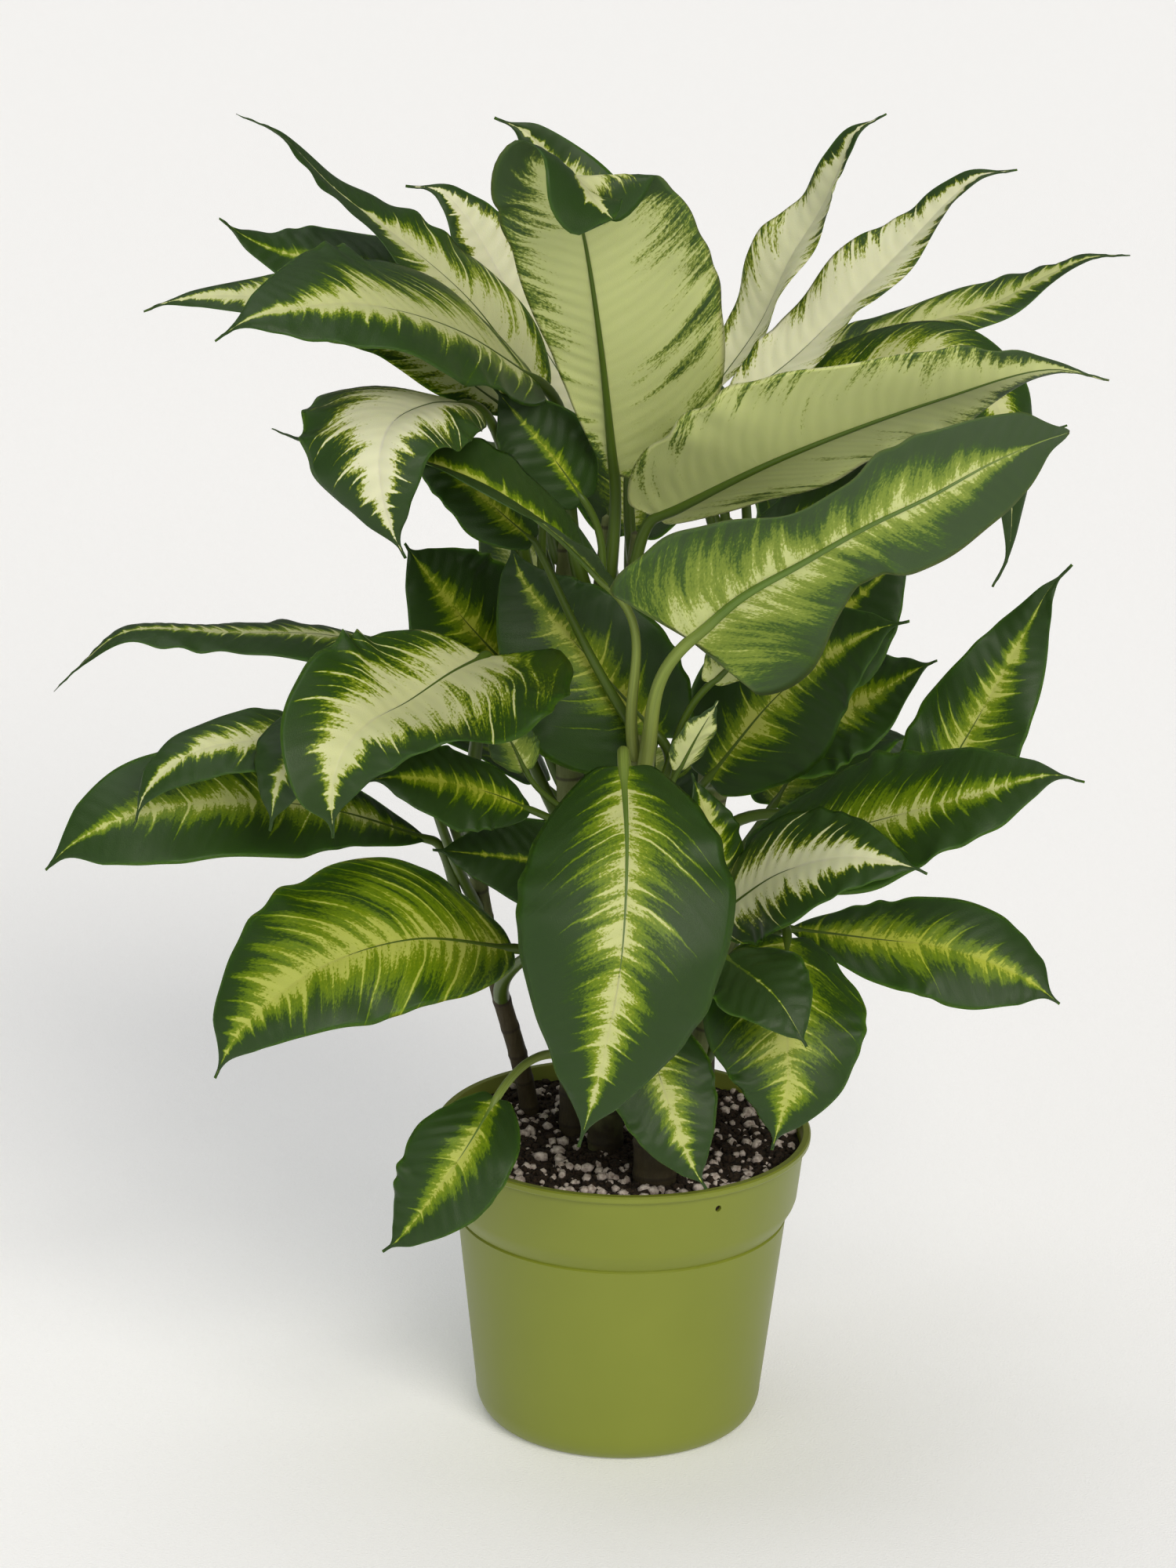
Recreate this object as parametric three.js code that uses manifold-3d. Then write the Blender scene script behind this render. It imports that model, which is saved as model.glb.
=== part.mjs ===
// A potted dieffenbachia in a plastic grower pot.
// Millimetres, +Z up. The origin is the middle of the pot's underside. The front is toward -Y.
import * as THREE from 'three';
import { mergeVertices } from 'three/addons/utils/BufferGeometryUtils.js';
import Module from 'manifold-3d';

const wasm = await Module();
wasm.setup();

// ---- driving dimensions -------------------------------------------------------------------

const GAP = 0.3; // between pieces that touch

const POT_HEIGHT = 138;
const POT_WALL = 1.6;
const POT_FLOOR = 2;
const POT_SIDES = 36;
const RIM_RADIUS = 85;
const LIP_OUT = 2.2; // how far the rolled edge stands out from the collar
const LIP_HEIGHT = 3;
const COLLAR_LOW = { radius: 79.5, z: 108 };
const BODY_TOP = { radius: 74.8, z: 98 };
const BODY_LOW = { radius: 65.4, z: 14 };
const FOOT_RADIUS = 56.4;
const FOOT_STEPS = 4;
const DRAIN = { holes: 8, radius: 4, circle: 49 };
const HOLE_SIDES = 12;
const COLLAR_HOLE = { radius: 1.5, z: 127.5, turn: -59 }; // a small hole moulded in the collar

const SOIL_TOP = 131;
const SOIL_RELIEF = 1.6;
const SOIL_RINGS = [0.3, 0.6, 0.85];
const SOIL_SEED = 11;

const CANE_DEPTH = 34; // how far a cane reaches down into the soil
const CANE_RINGS = 6;
const CANE_SHOOT = 0.9; // past this share of its length a cane narrows to a rolled young leaf
const CANE_TIP = 0.3; // the shoot's end, as a share of the cane's radius
const CANE_SEARCH = 1e-4; // how closely a height is found on a cane, as a share of its length

const BLADE_THICK = 1.1;
const BLADE_ACROSS = [-1, -0.5, 0, 0.5, 1];
const BLADE_STEP = 22; // length of blade to each station
const BLADE_STATIONS = { least: 6, most: 8 };
const BLADE_CROWD = 1.3; // stations crowd toward the blade's base
const BLADE_PEAK = 0.39; // share of the length at which most blades are widest
const BLADE_POINT = 1.8; // the sum of the two powers that shape a margin: more is more pointed
const BLADE_LOBE = 0.1;
const LOBE_END = 0.25; // the lobes' back sweep ends at this share of the length
const TAIL = { start: 0.7, narrow: 0.35 }; // the drip tip
const WAIST = { at: 0.42, length: 0.17 }; // where a waisted blade is narrowest, as shares of its length
const TIP_HALF = 0.8; // half width of the drip tip's end
const MIDRIB = 2; // depth of the midrib under the blade at its base
const WAVES = 2.6; // waves along a margin
const LEAF_SEED = 5;
const STALK = { radius: 2.5, foot: 1.6, rings: 4, forLeaf: 90 };
const STALK_RISE = 0.4; // how far a stalk keeps to its cane's direction, as a share of its length
const STALK_OUT = 0.25;
const STALK_BEND = 0.35;

// ---- canes: route from the soil's surface to the shoot, and radius at foot and top -----------

const CANES = {
  front: { foot: 10.5, top: 6.5, route: [[14, -47, 131], [12, -45, 190], [6, -41, 260], [2, -38, 336]] },
  middle: { foot: 8.5, top: 6, route: [[-8, -8, 131], [-9, -6, 220], [-11, -4, 330], [-13, -4, 425]] },
  back: { foot: 8, top: 6, route: [[8, 40, 131], [6, 42, 220], [2, 44, 330], [0, 44, 405]] },
  left: { foot: 4.6, top: 4, route: [[-43, 33, 131], [-48, 25, 160], [-58, 15, 200], [-70, 0, 270]] },
  right: { foot: 5, top: 4, route: [[26, -12, 131], [30, -16, 165], [36, -19, 200], [50, -20, 258]] },
  rear_left: {
    foot: 7.5, top: 5.5, route: [[-22, 12, 131], [-24, 14, 220], [-28, 14, 320], [-32, 12, 410]],
  },
  rear_right: { foot: 8, top: 6, route: [[34, 30, 131], [35, 32, 220], [38, 32, 320], [42, 32, 415]] },
};

// ---- leaves ---------------------------------------------------------------------------------
// cane and up: where the stalk leaves its cane. spine: the midrib from the blade's base to its tip.
// face: the way the upper side looks, and tipFace the same at the tip of a twisted blade.
// fold: degrees that each half is lifted to a valley.
// droop: how far the margins bend away from the face, in hundredths of the half width.
// wave: height of a margin's waves. peak: where the blade is widest, as a share of its length.
// rightPeak: the same for the right half, where that differs. point: see BLADE_POINT.
// tail: how much it draws in toward its tip. waist: how much narrower it is at its waist.
// twist: where the turn to tipFace starts, as a share of the length.
// lobe: how far its base's lobes reach back, as a share of the width, and rightLobe the right one.
// lean: how much wider the right half is than the left, seen along the blade from above.
// bend: how far ahead of the blade its stalk turns along the midrib, as a share of the stalk.

const LEAVES = {
  crown_front: { cane: 'middle', up: 385, wide: 85, face: [0, 0.9, 0.42], fold: 8, droop: 20,
    wave: 2.2, peak: 0.42, rightPeak: 0.75, point: 1.1, tail: 0, lean: -0.245, twist: 0.86,
    tipFace: [0.3, -0.7, 0.65],
    spine: [[-10, -22, 447], [-17, -55, 512], [-24, -82, 560], [-29, -100, 583],
      [-31, -112, 594], [-27, -125, 594], [-20, -134, 588], [-13, -139, 582]] },
  crown_back: { cane: 'back', up: 385, wide: 52, face: [-0.15, -0.85, 0.35], fold: 14, droop: 20,
    wave: 2,
    spine: [[-6, 66, 467], [-16, 88, 516], [-36, 96, 552], [-51, 98, 572], [-66, 98, 579]] },
  crown_left_back: { cane: 'middle', up: 400, wide: 50, face: [0.35, -0.75, 0.5], fold: 16,
    droop: 20, wave: 2,
    spine: [[-14, 36, 445], [-51, 61, 497], [-87, 65, 551], [-104, 65, 554]] },
  crown_left_high: { cane: 'rear_left', up: 395, wide: 58, face: [0.6, -0.5, 0.6], fold: 10,
    droop: 10, wave: 2, peak: 0.27, tipFace: [0.73, 0.08, 0.65],
    spine: [[-45, 24, 473], [-74, 27, 511], [-105, 27, 538], [-133, 24, 560], [-158, 20, 585],
      [-175, 18, 593]] },
  crown_left_broad: { cane: 'middle', up: 370, wide: 92, face: [0, -0.5, 0.86], fold: 10,
    droop: 25, wave: 3.2, lean: 0.15,
    spine: [[-44, -14, 486], [-79, -50, 516], [-116, -88, 534], [-141, -105, 536],
      [-160, -114, 533], [-174, -116, 524]] },
  crown_left_far: { cane: 'rear_left', up: 376, wide: 54, face: [0, -0.5, 0.85], fold: 10,
    droop: 25, wave: 2,
    spine: [[-74, 46, 484], [-112, 42, 518], [-158, 34, 530], [-172, 30, 537],
      [-183, 26, 546]] },
  crown_left_low: { cane: 'rear_left', up: 362, wide: 42, face: [0.05, -0.45, 0.88], fold: 10,
    droop: 20, wave: 2,
    spine: [[-56, -3, 470], [-118, -8, 511], [-177, -16, 521], [-202, -18, 518],
      [-212, -18, 514]] },
  crown_right_tall: { cane: 'rear_right', up: 395, wide: 40, face: [-0.8, -0.42, 0.4], fold: 24,
    droop: 6, wave: 3.4,
    spine: [[33, 44, 469], [53, 50, 498], [66, 54, 527], [79, 57, 549], [87, 58, 568],
      [93, 58, 583], [106, 58, 591]] },
  crown_right_high: { cane: 'rear_right', up: 380, wide: 42, face: [-0.55, -0.45, 0.7], fold: 24,
    droop: 8, wave: 3.4,
    spine: [[38, 12, 468], [68, 15, 492], [94, 22, 518], [116, 29, 540], [135, 34, 560],
      [146, 34, 569], [162, 34, 572]] },
  crown_right_slim: { cane: 'rear_right', up: 366, wide: 48, face: [0.05, -0.2, 0.97], fold: 14,
    droop: 20, wave: 2,
    spine: [[61, 42, 467], [95, 50, 486], [128, 52, 500], [155, 51, 509], [178, 50, 522],
      [197, 48, 531], [214, 46, 533]] },
  crown_right_arch: { cane: 'rear_right', up: 356, wide: 58, face: [0.25, -0.35, 0.9], fold: 12,
    droop: 25, wave: 2, peak: 0.3, tail: 0.6, tipFace: [0.6, -0.75, 0.2],
    spine: [[52, 12, 457], [97, 10, 482], [135, 0, 492], [153, -12, 479], [159, -20, 459],
      [160, -26, 415], [154, -28, 402]] },
  crown_right_under: { cane: 'middle', up: 350, wide: 88, face: [-0.22, 0.76, 0.6], fold: 18,
    droop: 10, wave: 2.4, bend: 0.15, peak: 0.32,
    spine: [[8, -35, 432], [61, -66, 468], [124, -84, 498], [169, -90, 513], [193, -92, 509]] },
  middle_right_under: { cane: 'front', up: 309, wide: 100, face: [-0.15, 0.93, 0.3], fold: 8,
    droop: 20, wave: 2.6, peak: 0.12, rightPeak: 0.1, point: 0.62, waist: 0.45, tail: 0,
    lobe: 0.05, rightLobe: 0, lean: 0,
    spine: [[23, -82, 391], [43, -92, 413], [69, -102, 432], [94, -108, 449], [120, -106, 462],
      [146, -98, 475], [167, -88, 482], [179, -80, 484]] },
  middle_left_hook: { cane: 'rear_left', up: 338, wide: 70, face: [-0.1, -0.5, 0.86], fold: 14,
    droop: 40, wave: 2.4, lean: 0.2, tipFace: [-0.3, -0.9, 0.1],
    spine: [[-74, -50, 484], [-88, -82, 491], [-102, -114, 490], [-106, -132, 480],
      [-104, -138, 464], [-100, -136, 450], [-95, -134, 439]] },
  middle_left_back: { cane: 'front', up: 345, wide: 34, face: [0.15, -0.75, 0.55], fold: 10,
    droop: 20, wave: 2.2, bend: 0.05,
    spine: [[-44, -44, 423], [-59, -48, 437], [-82, -52, 460], [-103, -47, 476]] },
  middle_left_fold: { cane: 'front', up: 322, wide: 50, face: [0.2, -0.1, 0.97], fold: 26,
    droop: 10, wave: 2, lean: -0.18,
    spine: [[-9, -66, 407], [-36, -78, 437], [-65, -80, 457], [-100, -74, 467], [-137, -62, 468],
      [-155, -56, 473]] },
  middle_left_shade: { cane: 'rear_left', up: 290, wide: 66, face: [0.35, -0.8, 0.5], fold: 12,
    droop: 15, wave: 2,
    spine: [[-53, 22, 344], [-76, 14, 372], [-96, 6, 400], [-101, 4, 408]] },
  middle_broad: { cane: 'front', up: 284, wide: 76, face: [-0.2, -0.88, 0.42], fold: 10,
    droop: 15, wave: 2.2, peak: 0.32, lobe: 0.2, lean: -0.15,
    spine: [[12, -31, 332], [-18, -31, 366], [-48, -22, 399], [-55, -16, 417]] },
  left_butterfly: { cane: 'left', up: 268, wide: 88, face: [0.1, -0.5, 0.86], fold: 24,
    droop: 10, wave: 3.2, bend: 0.1, peak: 0.28, rightPeak: 0.5, lobe: 0.45, rightLobe: 0,
    lean: -0.2,
    spine: [[-64, -53, 374], [-78, -80, 374], [-95, -106, 369], [-111, -130, 366],
      [-120, -143, 358], [-124, -149, 345], [-124, -147, 322]] },
  left_long: { cane: 'rear_left', up: 270, wide: 62, face: [0, 0, 1], fold: 6, droop: 25,
    wave: 1.6, peak: 0.3,
    spine: [[-79, 22, 346], [-131, 10, 363], [-178, -4, 368], [-222, -14, 370], [-241, -18, 356],
      [-253, -18, 344]] },
  left_hook: { cane: 'left', up: 234, wide: 44, face: [0, -0.4, 0.9], fold: 10, droop: 25,
    wave: 2, bend: 0.15,
    spine: [[-103, -72, 338], [-153, -96, 348], [-186, -112, 346], [-203, -118, 332],
      [-209, -118, 316]] },
  left_under: { cane: 'left', up: 252, wide: 50, face: [-0.1, -0.45, 0.88], fold: 10, droop: 30,
    wave: 2, bend: 0.15,
    spine: [[-96, -90, 350], [-129, -114, 358], [-146, -130, 344], [-151, -133, 320]] },
  left_low_long: { cane: 'left', up: 205, wide: 62, face: [0.05, -0.6, 0.8], fold: 10, droop: 20,
    wave: 2.4, bend: 0.15, peak: 0.6,
    spine: [[-87, -22, 280], [-130, -52, 303], [-172, -82, 316], [-211, -100, 315],
      [-236, -104, 303], [-248, -104, 291]] },
  left_low_back: { cane: 'front', up: 262, wide: 34, face: [0.1, -0.75, 0.65], fold: 10,
    droop: 20, wave: 2, bend: 0.2, lean: -0.1,
    spine: [[-43, -53, 305], [-61, -67, 317], [-82, -83, 327], [-101, -97, 333],
      [-112, -103, 333]] },
  left_low_slim: { cane: 'front', up: 240, wide: 46, face: [0, -0.65, 0.76], fold: 10, droop: 20,
    wave: 1.6,
    spine: [[-11, -24, 268], [-47, -34, 276], [-86, -44, 283]] },
  left_low_broad: { cane: 'left', up: 190, wide: 78, face: [-0.05, -0.7, 0.68], fold: 8,
    droop: 20, wave: 2.4, peak: 0.44, lean: 0.15,
    spine: [[-50, -44, 238], [-94, -80, 254], [-131, -100, 248], [-161, -112, 228],
      [-170, -114, 215], [-176, -112, 201]] },
  front_centre: { cane: 'front', up: 268, wide: 91, face: [0, -0.95, 0.3], fold: 6, droop: 25,
    wave: 1.8,
    spine: [[-4, -88, 337], [-2, -128, 309], [-4, -150, 268], [-13, -152, 216],
      [-20, -148, 187]] },
  front_left_small: { cane: 'middle', up: 150, wide: 48, face: [-0.25, -0.85, 0.45], fold: 10,
    droop: 15, wave: 1.6,
    spine: [[-56, -86, 184], [-71, -106, 164], [-97, -112, 128], [-104, -112, 122]] },
  front_right_small: { cane: 'front', up: 180, wide: 46, face: [0.15, -0.93, 0.3], fold: 12,
    droop: 15, wave: 1.4,
    spine: [[6, -62, 216], [16, -80, 189], [30, -90, 155], [36, -90, 145]] },
  right_droop: { cane: 'right', up: 190, wide: 72, face: [0.1, -0.93, 0.35], fold: 8, droop: 20,
    wave: 2,
    spine: [[70, -34, 242], [69, -70, 221], [70, -88, 193], [64, -88, 163]] },
  right_small_blue: { cane: 'right', up: 208, wide: 42, face: [0.1, -0.75, 0.65], fold: 12,
    droop: 20, wave: 1.6,
    spine: [[42, -84, 250], [63, -114, 243], [76, -124, 225]] },
  right_low_far: { cane: 'right', up: 168, wide: 50, face: [0, -0.75, 0.65], fold: 10, droop: 25,
    wave: 1.8, peak: 0.58,
    spine: [[71, -8, 237], [108, -14, 235], [142, -20, 233], [176, -26, 222], [192, -28, 211]] },
  right_low_cream: { cane: 'right', up: 218, wide: 60, face: [0.05, -0.7, 0.72], fold: 10,
    droop: 20, wave: 1.6,
    spine: [[40, -44, 256], [66, -74, 286], [95, -100, 302], [120, -110, 301],
      [125, -111, 299]] },
  right_low_long: { cane: 'right', up: 228, wide: 72, face: [0.1, -0.62, 0.78], fold: 12,
    droop: 20, wave: 3,
    spine: [[50, -18, 274], [97, -50, 299], [142, -74, 321], [178, -84, 335], [192, -86, 333]] },
  right_upright: { cane: 'rear_right', up: 262, wide: 50, face: [-0.1, -0.88, 0.42], fold: 10,
    droop: 15, wave: 3.5, peak: 0.28,
    spine: [[132, 26, 283], [156, 28, 328], [177, 32, 370], [184, 33, 384], [194, 33, 396]] },
  right_middle: { cane: 'rear_right', up: 285, wide: 68, face: [0.1, -0.82, 0.55], fold: 12,
    droop: 15, wave: 1.8,
    spine: [[34, 4, 302], [66, -18, 351], [102, -48, 387], [117, -56, 394]] },
  right_middle_back: { cane: 'rear_right', up: 275, wide: 56, face: [0.1, -0.6, 0.78], fold: 10,
    droop: 15, wave: 1.8,
    spine: [[55, 40, 304], [96, 32, 327], [130, 20, 352], [135, 18, 355]] },
  right_behind: { cane: 'rear_right', up: 292, wide: 60, face: [0.25, -0.7, 0.6], fold: 12,
    droop: 15, wave: 2,
    spine: [[60, 14, 342], [76, 12, 362], [97, 10, 384], [122, 12, 409]] },
  right_inner: { cane: 'right', up: 238, wide: 30, face: [0.55, -0.75, 0.3], fold: 20, droop: 10,
    wave: 1.4,
    spine: [[38, -32, 250], [35, -38, 290], [26, -36, 318]] },
  behind_fold: { cane: 'back', up: 350, wide: 38, face: [0.1, 0.8, 0.6], fold: 8, droop: 15,
    wave: 1.8,
    spine: [[-41, 46, 374], [-56, 50, 398], [-70, 54, 421]] },
  right_hidden: { cane: 'rear_right', up: 330, wide: 52, face: [0.1, -0.4, 0.9], fold: 10,
    droop: 20, wave: 1.6,
    spine: [[50, 10, 410], [94, 12, 430], [143, 14, 445], [171, 14, 458], [187, 14, 464]] },
  right_pale: { cane: 'front', up: 290, wide: 38, face: [-0.1, 0.7, 0.7], fold: 8, droop: 15,
    wave: 1.6,
    spine: [[33, -60, 366], [52, -69, 388], [76, -76, 408], [96, -77, 424]] },
  right_pale_small: { cane: 'front', up: 262, wide: 20, face: [-0.3, 0.7, 0.6], fold: 10,
    droop: 10, wave: 1,
    spine: [[20, -58, 326], [27, -62, 342], [36, -66, 360]] },
  left_pale_small: { cane: 'front', up: 272, wide: 22, face: [-0.2, 0.8, 0.4], fold: 10,
    droop: 10, wave: 1,
    spine: [[-46, -50, 322], [-52, -55, 336], [-60, -61, 350]] },
  rear_high: { cane: 'back', up: 350, wide: 84, face: [0, -0.5, 0.85], fold: 10, droop: 20,
    wave: 2.2,
    spine: [[-2, 68, 396], [0, 96, 434], [4, 134, 456], [8, 166, 444], [10, 180, 424]] },
  rear_left_out: { cane: 'back', up: 335, wide: 80, face: [-0.3, 0.4, 0.85], fold: 10, droop: 20,
    wave: 2.2,
    spine: [[-44, 76, 396], [-80, 106, 424], [-108, 130, 418], [-126, 148, 384]] },
  rear_right_out: { cane: 'rear_right', up: 340, wide: 76, face: [0.3, 0.4, 0.85], fold: 10,
    droop: 20, wave: 2.2,
    spine: [[66, 66, 396], [92, 98, 424], [114, 130, 416], [128, 152, 382]] },
  rear_low_left: { cane: 'back', up: 235, wide: 70, face: [-0.4, 0.4, 0.82], fold: 10, droop: 20,
    wave: 2,
    spine: [[-42, 72, 278], [-76, 98, 300], [-106, 122, 290], [-124, 138, 256]] },
  rear_low_right: { cane: 'rear_right', up: 225, wide: 70, face: [0.4, 0.4, 0.82], fold: 10,
    droop: 20, wave: 2,
    spine: [[66, 66, 270], [90, 96, 298], [112, 124, 290], [126, 144, 254]] },
  rear_low: { cane: 'back', up: 215, wide: 72, face: [0, 0.5, 0.86], fold: 10, droop: 20,
    wave: 2,
    spine: [[6, 84, 250], [8, 122, 276], [10, 156, 262], [10, 176, 226]] },
  crown_left_shade: { cane: 'middle', up: 340, wide: 40, face: [0.1, -0.9, 0.3], fold: 6,
    droop: 20, wave: 2,
    spine: [[-23, -23, 436], [-37, -26, 456], [-52, -28, 474], [-62, -28, 486]] },
};

// ---- materials ------------------------------------------------------------------------------

const MATERIALS = {
  pot: new THREE.MeshStandardMaterial({ color: '#87933f', roughness: 0.45, metalness: 0 }),
  soil: new THREE.MeshStandardMaterial({ color: '#2e241c', roughness: 1, metalness: 0 }),
  cane: new THREE.MeshStandardMaterial({ color: '#6f6650', roughness: 0.8, metalness: 0 }),
  leaf: new THREE.MeshStandardMaterial({ color: '#5d8a45', roughness: 0.4, metalness: 0 }),
};

// ---- closed solids --------------------------------------------------------------------------

function toSolid(geometry) {
  const bare = geometry.clone();
  bare.deleteAttribute('normal');
  bare.deleteAttribute('uv');
  const merged = mergeVertices(bare);
  return new wasm.Manifold(new wasm.Mesh({
    numProp: 3,
    vertProperties: Float32Array.from(merged.attributes.position.array),
    triVerts: Uint32Array.from(merged.index.array),
  }));
}

function toGeometry(solid) {
  const mesh = solid.getMesh();
  const geometry = new THREE.BufferGeometry();
  geometry.setAttribute('position', new THREE.Float32BufferAttribute(mesh.vertProperties, 3));
  geometry.setIndex(Array.from(mesh.triVerts));
  return geometry;
}

function largestBody(solid) {
  return solid.decompose().sort((a, b) => b.volume() - a.volume())[0];
}

// A closed skin over rings of points that all have the same even count.
// The two halves of a ring mirror each other, so both faces of a blade are split alike.
function loft(rings) {
  const count = rings[0].length;
  const index = [];
  for (let i = 0; i + 1 < rings.length; i += 1) {
    for (let k = 0; k < count; k += 1) {
      const a = i * count + k;
      const b = i * count + ((k + 1) % count);
      if (k < count / 2) index.push(a, b, b + count, a, b + count, a + count);
      else index.push(a, b, a + count, b, b + count, a + count);
    }
  }
  index.push(...capFaces(count, 0, true), ...capFaces(count, (rings.length - 1) * count, false));
  const geometry = new THREE.BufferGeometry();
  const position = rings.flat().flatMap((point) => point.toArray());
  geometry.setAttribute('position', new THREE.Float32BufferAttribute(position, 3));
  geometry.setIndex(index);
  return geometry;
}

// Closes a ring with a ladder of faces between its two halves.
function capFaces(count, first, isStart) {
  const faces = [];
  for (let k = 0; k + 1 < count / 2; k += 1) {
    const a = first + k;
    const b = a + 1;
    const d = first + count - 1 - k;
    const c = d - 1;
    faces.push(...(isStart ? [a, c, b, a, d, c] : [a, b, c, a, c, d]));
  }
  return faces;
}

// A round ring in the plane of side and up, its points matched to those of a blade's ring.
function roundRing(centre, side, up, radius) {
  const count = 2 * BLADE_ACROSS.length;
  return Array.from({ length: count }, (_, k) => {
    const angle = Math.PI * (1 - (2 * k + 1) / count);
    return centre.clone()
      .addScaledVector(side, radius * Math.cos(angle))
      .addScaledVector(up, radius * Math.sin(angle));
  });
}

// Seeded numbers from 0 to 1.
function seeded(seed) {
  let state = seed;
  return () => {
    state = (state * 1664525 + 1013904223) % 4294967296;
    return state / 4294967296;
  };
}

function across(vector, axis) {
  return vector.clone().addScaledVector(axis, -vector.dot(axis)).normalize();
}

// ---- pot ------------------------------------------------------------------------------------

// The rounded corner between floor and body, moved inward by inset with its floor at floor.
function footCorner(inset, floor) {
  const reach = { radius: BODY_LOW.radius - FOOT_RADIUS - inset, z: BODY_LOW.z - floor };
  return Array.from({ length: FOOT_STEPS + 1 }, (_, i) => {
    const angle = (Math.PI / 2) * (i / FOOT_STEPS);
    return new THREE.Vector2(FOOT_RADIUS + reach.radius * Math.sin(angle),
      BODY_LOW.z - reach.z * Math.cos(angle));
  });
}

// The wall's profile from the middle of the floor up to the collar's foot.
function wallProfile(inset, floor) {
  return [
    new THREE.Vector2(0, floor),
    ...footCorner(inset, floor),
    new THREE.Vector2(BODY_TOP.radius - inset, BODY_TOP.z),
    new THREE.Vector2(COLLAR_LOW.radius - inset, COLLAR_LOW.z),
  ];
}

// The collar's radius at a height.
function collarRadius(z, inset) {
  const rise = (z - COLLAR_LOW.z) / (POT_HEIGHT - COLLAR_LOW.z);
  return THREE.MathUtils.lerp(COLLAR_LOW.radius, RIM_RADIUS - LIP_OUT, rise) - inset;
}

function lathe(profile, sides) {
  return new THREE.LatheGeometry(profile, sides).rotateX(Math.PI / 2);
}

function drill(radius, length) {
  return new THREE.CylinderGeometry(radius, radius, length, HOLE_SIDES);
}

function makePot() {
  const lip = POT_HEIGHT - LIP_HEIGHT;
  const outside = [
    ...wallProfile(0, 0),
    new THREE.Vector2(collarRadius(lip - 1, 0), lip - 1),
    new THREE.Vector2(RIM_RADIUS, lip),
    new THREE.Vector2(RIM_RADIUS, POT_HEIGHT),
  ];
  const inside = [
    new THREE.Vector2(collarRadius(POT_HEIGHT, POT_WALL), POT_HEIGHT),
    ...wallProfile(POT_WALL, POT_FLOOR).reverse(),
  ];
  let pot = toSolid(lathe([...outside, ...inside], POT_SIDES));
  for (let i = 0; i < DRAIN.holes; i += 1) {
    const turn = (2 * Math.PI * i) / DRAIN.holes;
    const hole = drill(DRAIN.radius, 4 * POT_FLOOR).rotateX(Math.PI / 2);
    hole.translate(DRAIN.circle * Math.cos(turn), DRAIN.circle * Math.sin(turn), 0);
    pot = pot.subtract(toSolid(hole));
  }
  const turn = THREE.MathUtils.degToRad(COLLAR_HOLE.turn);
  const reach = collarRadius(COLLAR_HOLE.z, POT_WALL / 2);
  const hole = drill(COLLAR_HOLE.radius, 4 * POT_WALL).rotateZ(Math.PI / 2 + turn);
  hole.translate(reach * Math.cos(turn), reach * Math.sin(turn), COLLAR_HOLE.z);
  return largestBody(pot.subtract(toSolid(hole)));
}

// ---- soil -----------------------------------------------------------------------------------

// The plug fills the pot a hair clear of its wall, with an uneven top and a hole for each cane.
function makeSoil(canes) {
  const inset = POT_WALL + GAP;
  const edge = collarRadius(SOIL_TOP, inset);
  const profile = [
    ...wallProfile(inset, POT_FLOOR + GAP),
    new THREE.Vector2(edge, SOIL_TOP),
    ...SOIL_RINGS.map((share) => new THREE.Vector2(edge * share, SOIL_TOP)).reverse(),
    new THREE.Vector2(0, SOIL_TOP),
  ];
  const plug = lathe(profile, POT_SIDES);
  plug.deleteAttribute('normal');
  plug.deleteAttribute('uv');
  const geometry = mergeVertices(plug);
  const random = seeded(SOIL_SEED);
  const position = geometry.attributes.position;
  for (let i = 0; i < position.count; i += 1) {
    const radius = Math.hypot(position.getX(i), position.getY(i));
    if (position.getZ(i) > SOIL_TOP - GAP && radius < edge - GAP) {
      position.setZ(i, SOIL_TOP + SOIL_RELIEF * (2 * random() - 1));
    }
  }
  let soil = toSolid(geometry);
  for (const cane of canes) soil = soil.subtract(cane.clearance);
  return largestBody(soil);
}

// ---- canes ----------------------------------------------------------------------------------

function point(numbers) {
  return new THREE.Vector3(...numbers);
}

// A cane's route starts in the soil, straight below the place where it comes out.
function caneRoute({ route }) {
  const [x, y] = route[0];
  const buried = new THREE.Vector3(x, y, SOIL_TOP - CANE_DEPTH);
  return new THREE.CatmullRomCurve3([buried, ...route.map(point)]);
}

function caneSolid({ foot, top, route }, curve, extra) {
  const rings = [];
  for (let i = 0; i <= CANE_RINGS; i += 1) {
    const share = i / CANE_RINGS;
    const along = curve.getTangentAt(share);
    const side = across(new THREE.Vector3(1, 0, 0), along);
    const shoot = THREE.MathUtils.clamp((share - CANE_SHOOT) / (1 - CANE_SHOOT), 0, 1);
    const radius = THREE.MathUtils.lerp(foot, top, share) * THREE.MathUtils.lerp(1, CANE_TIP, shoot);
    const centre = curve.getPointAt(share);
    if (i === 0) centre.z -= extra;
    rings.push(roundRing(centre, side, side.clone().cross(along), radius + extra));
  }
  return toSolid(loft(rings));
}

function makeCane(form) {
  const curve = caneRoute(form);
  return { curve, solid: caneSolid(form, curve, 0), clearance: caneSolid(form, curve, GAP) };
}

// The place on a cane at a height.
function onCane({ curve }, z) {
  let low = 0;
  let high = 1;
  while (high - low > CANE_SEARCH) {
    const middle = (low + high) / 2;
    if (curve.getPointAt(middle).z < z) low = middle;
    else high = middle;
  }
  return { place: curve.getPointAt(low), along: curve.getTangentAt(low) };
}

// ---- leaves ---------------------------------------------------------------------------------

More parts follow.
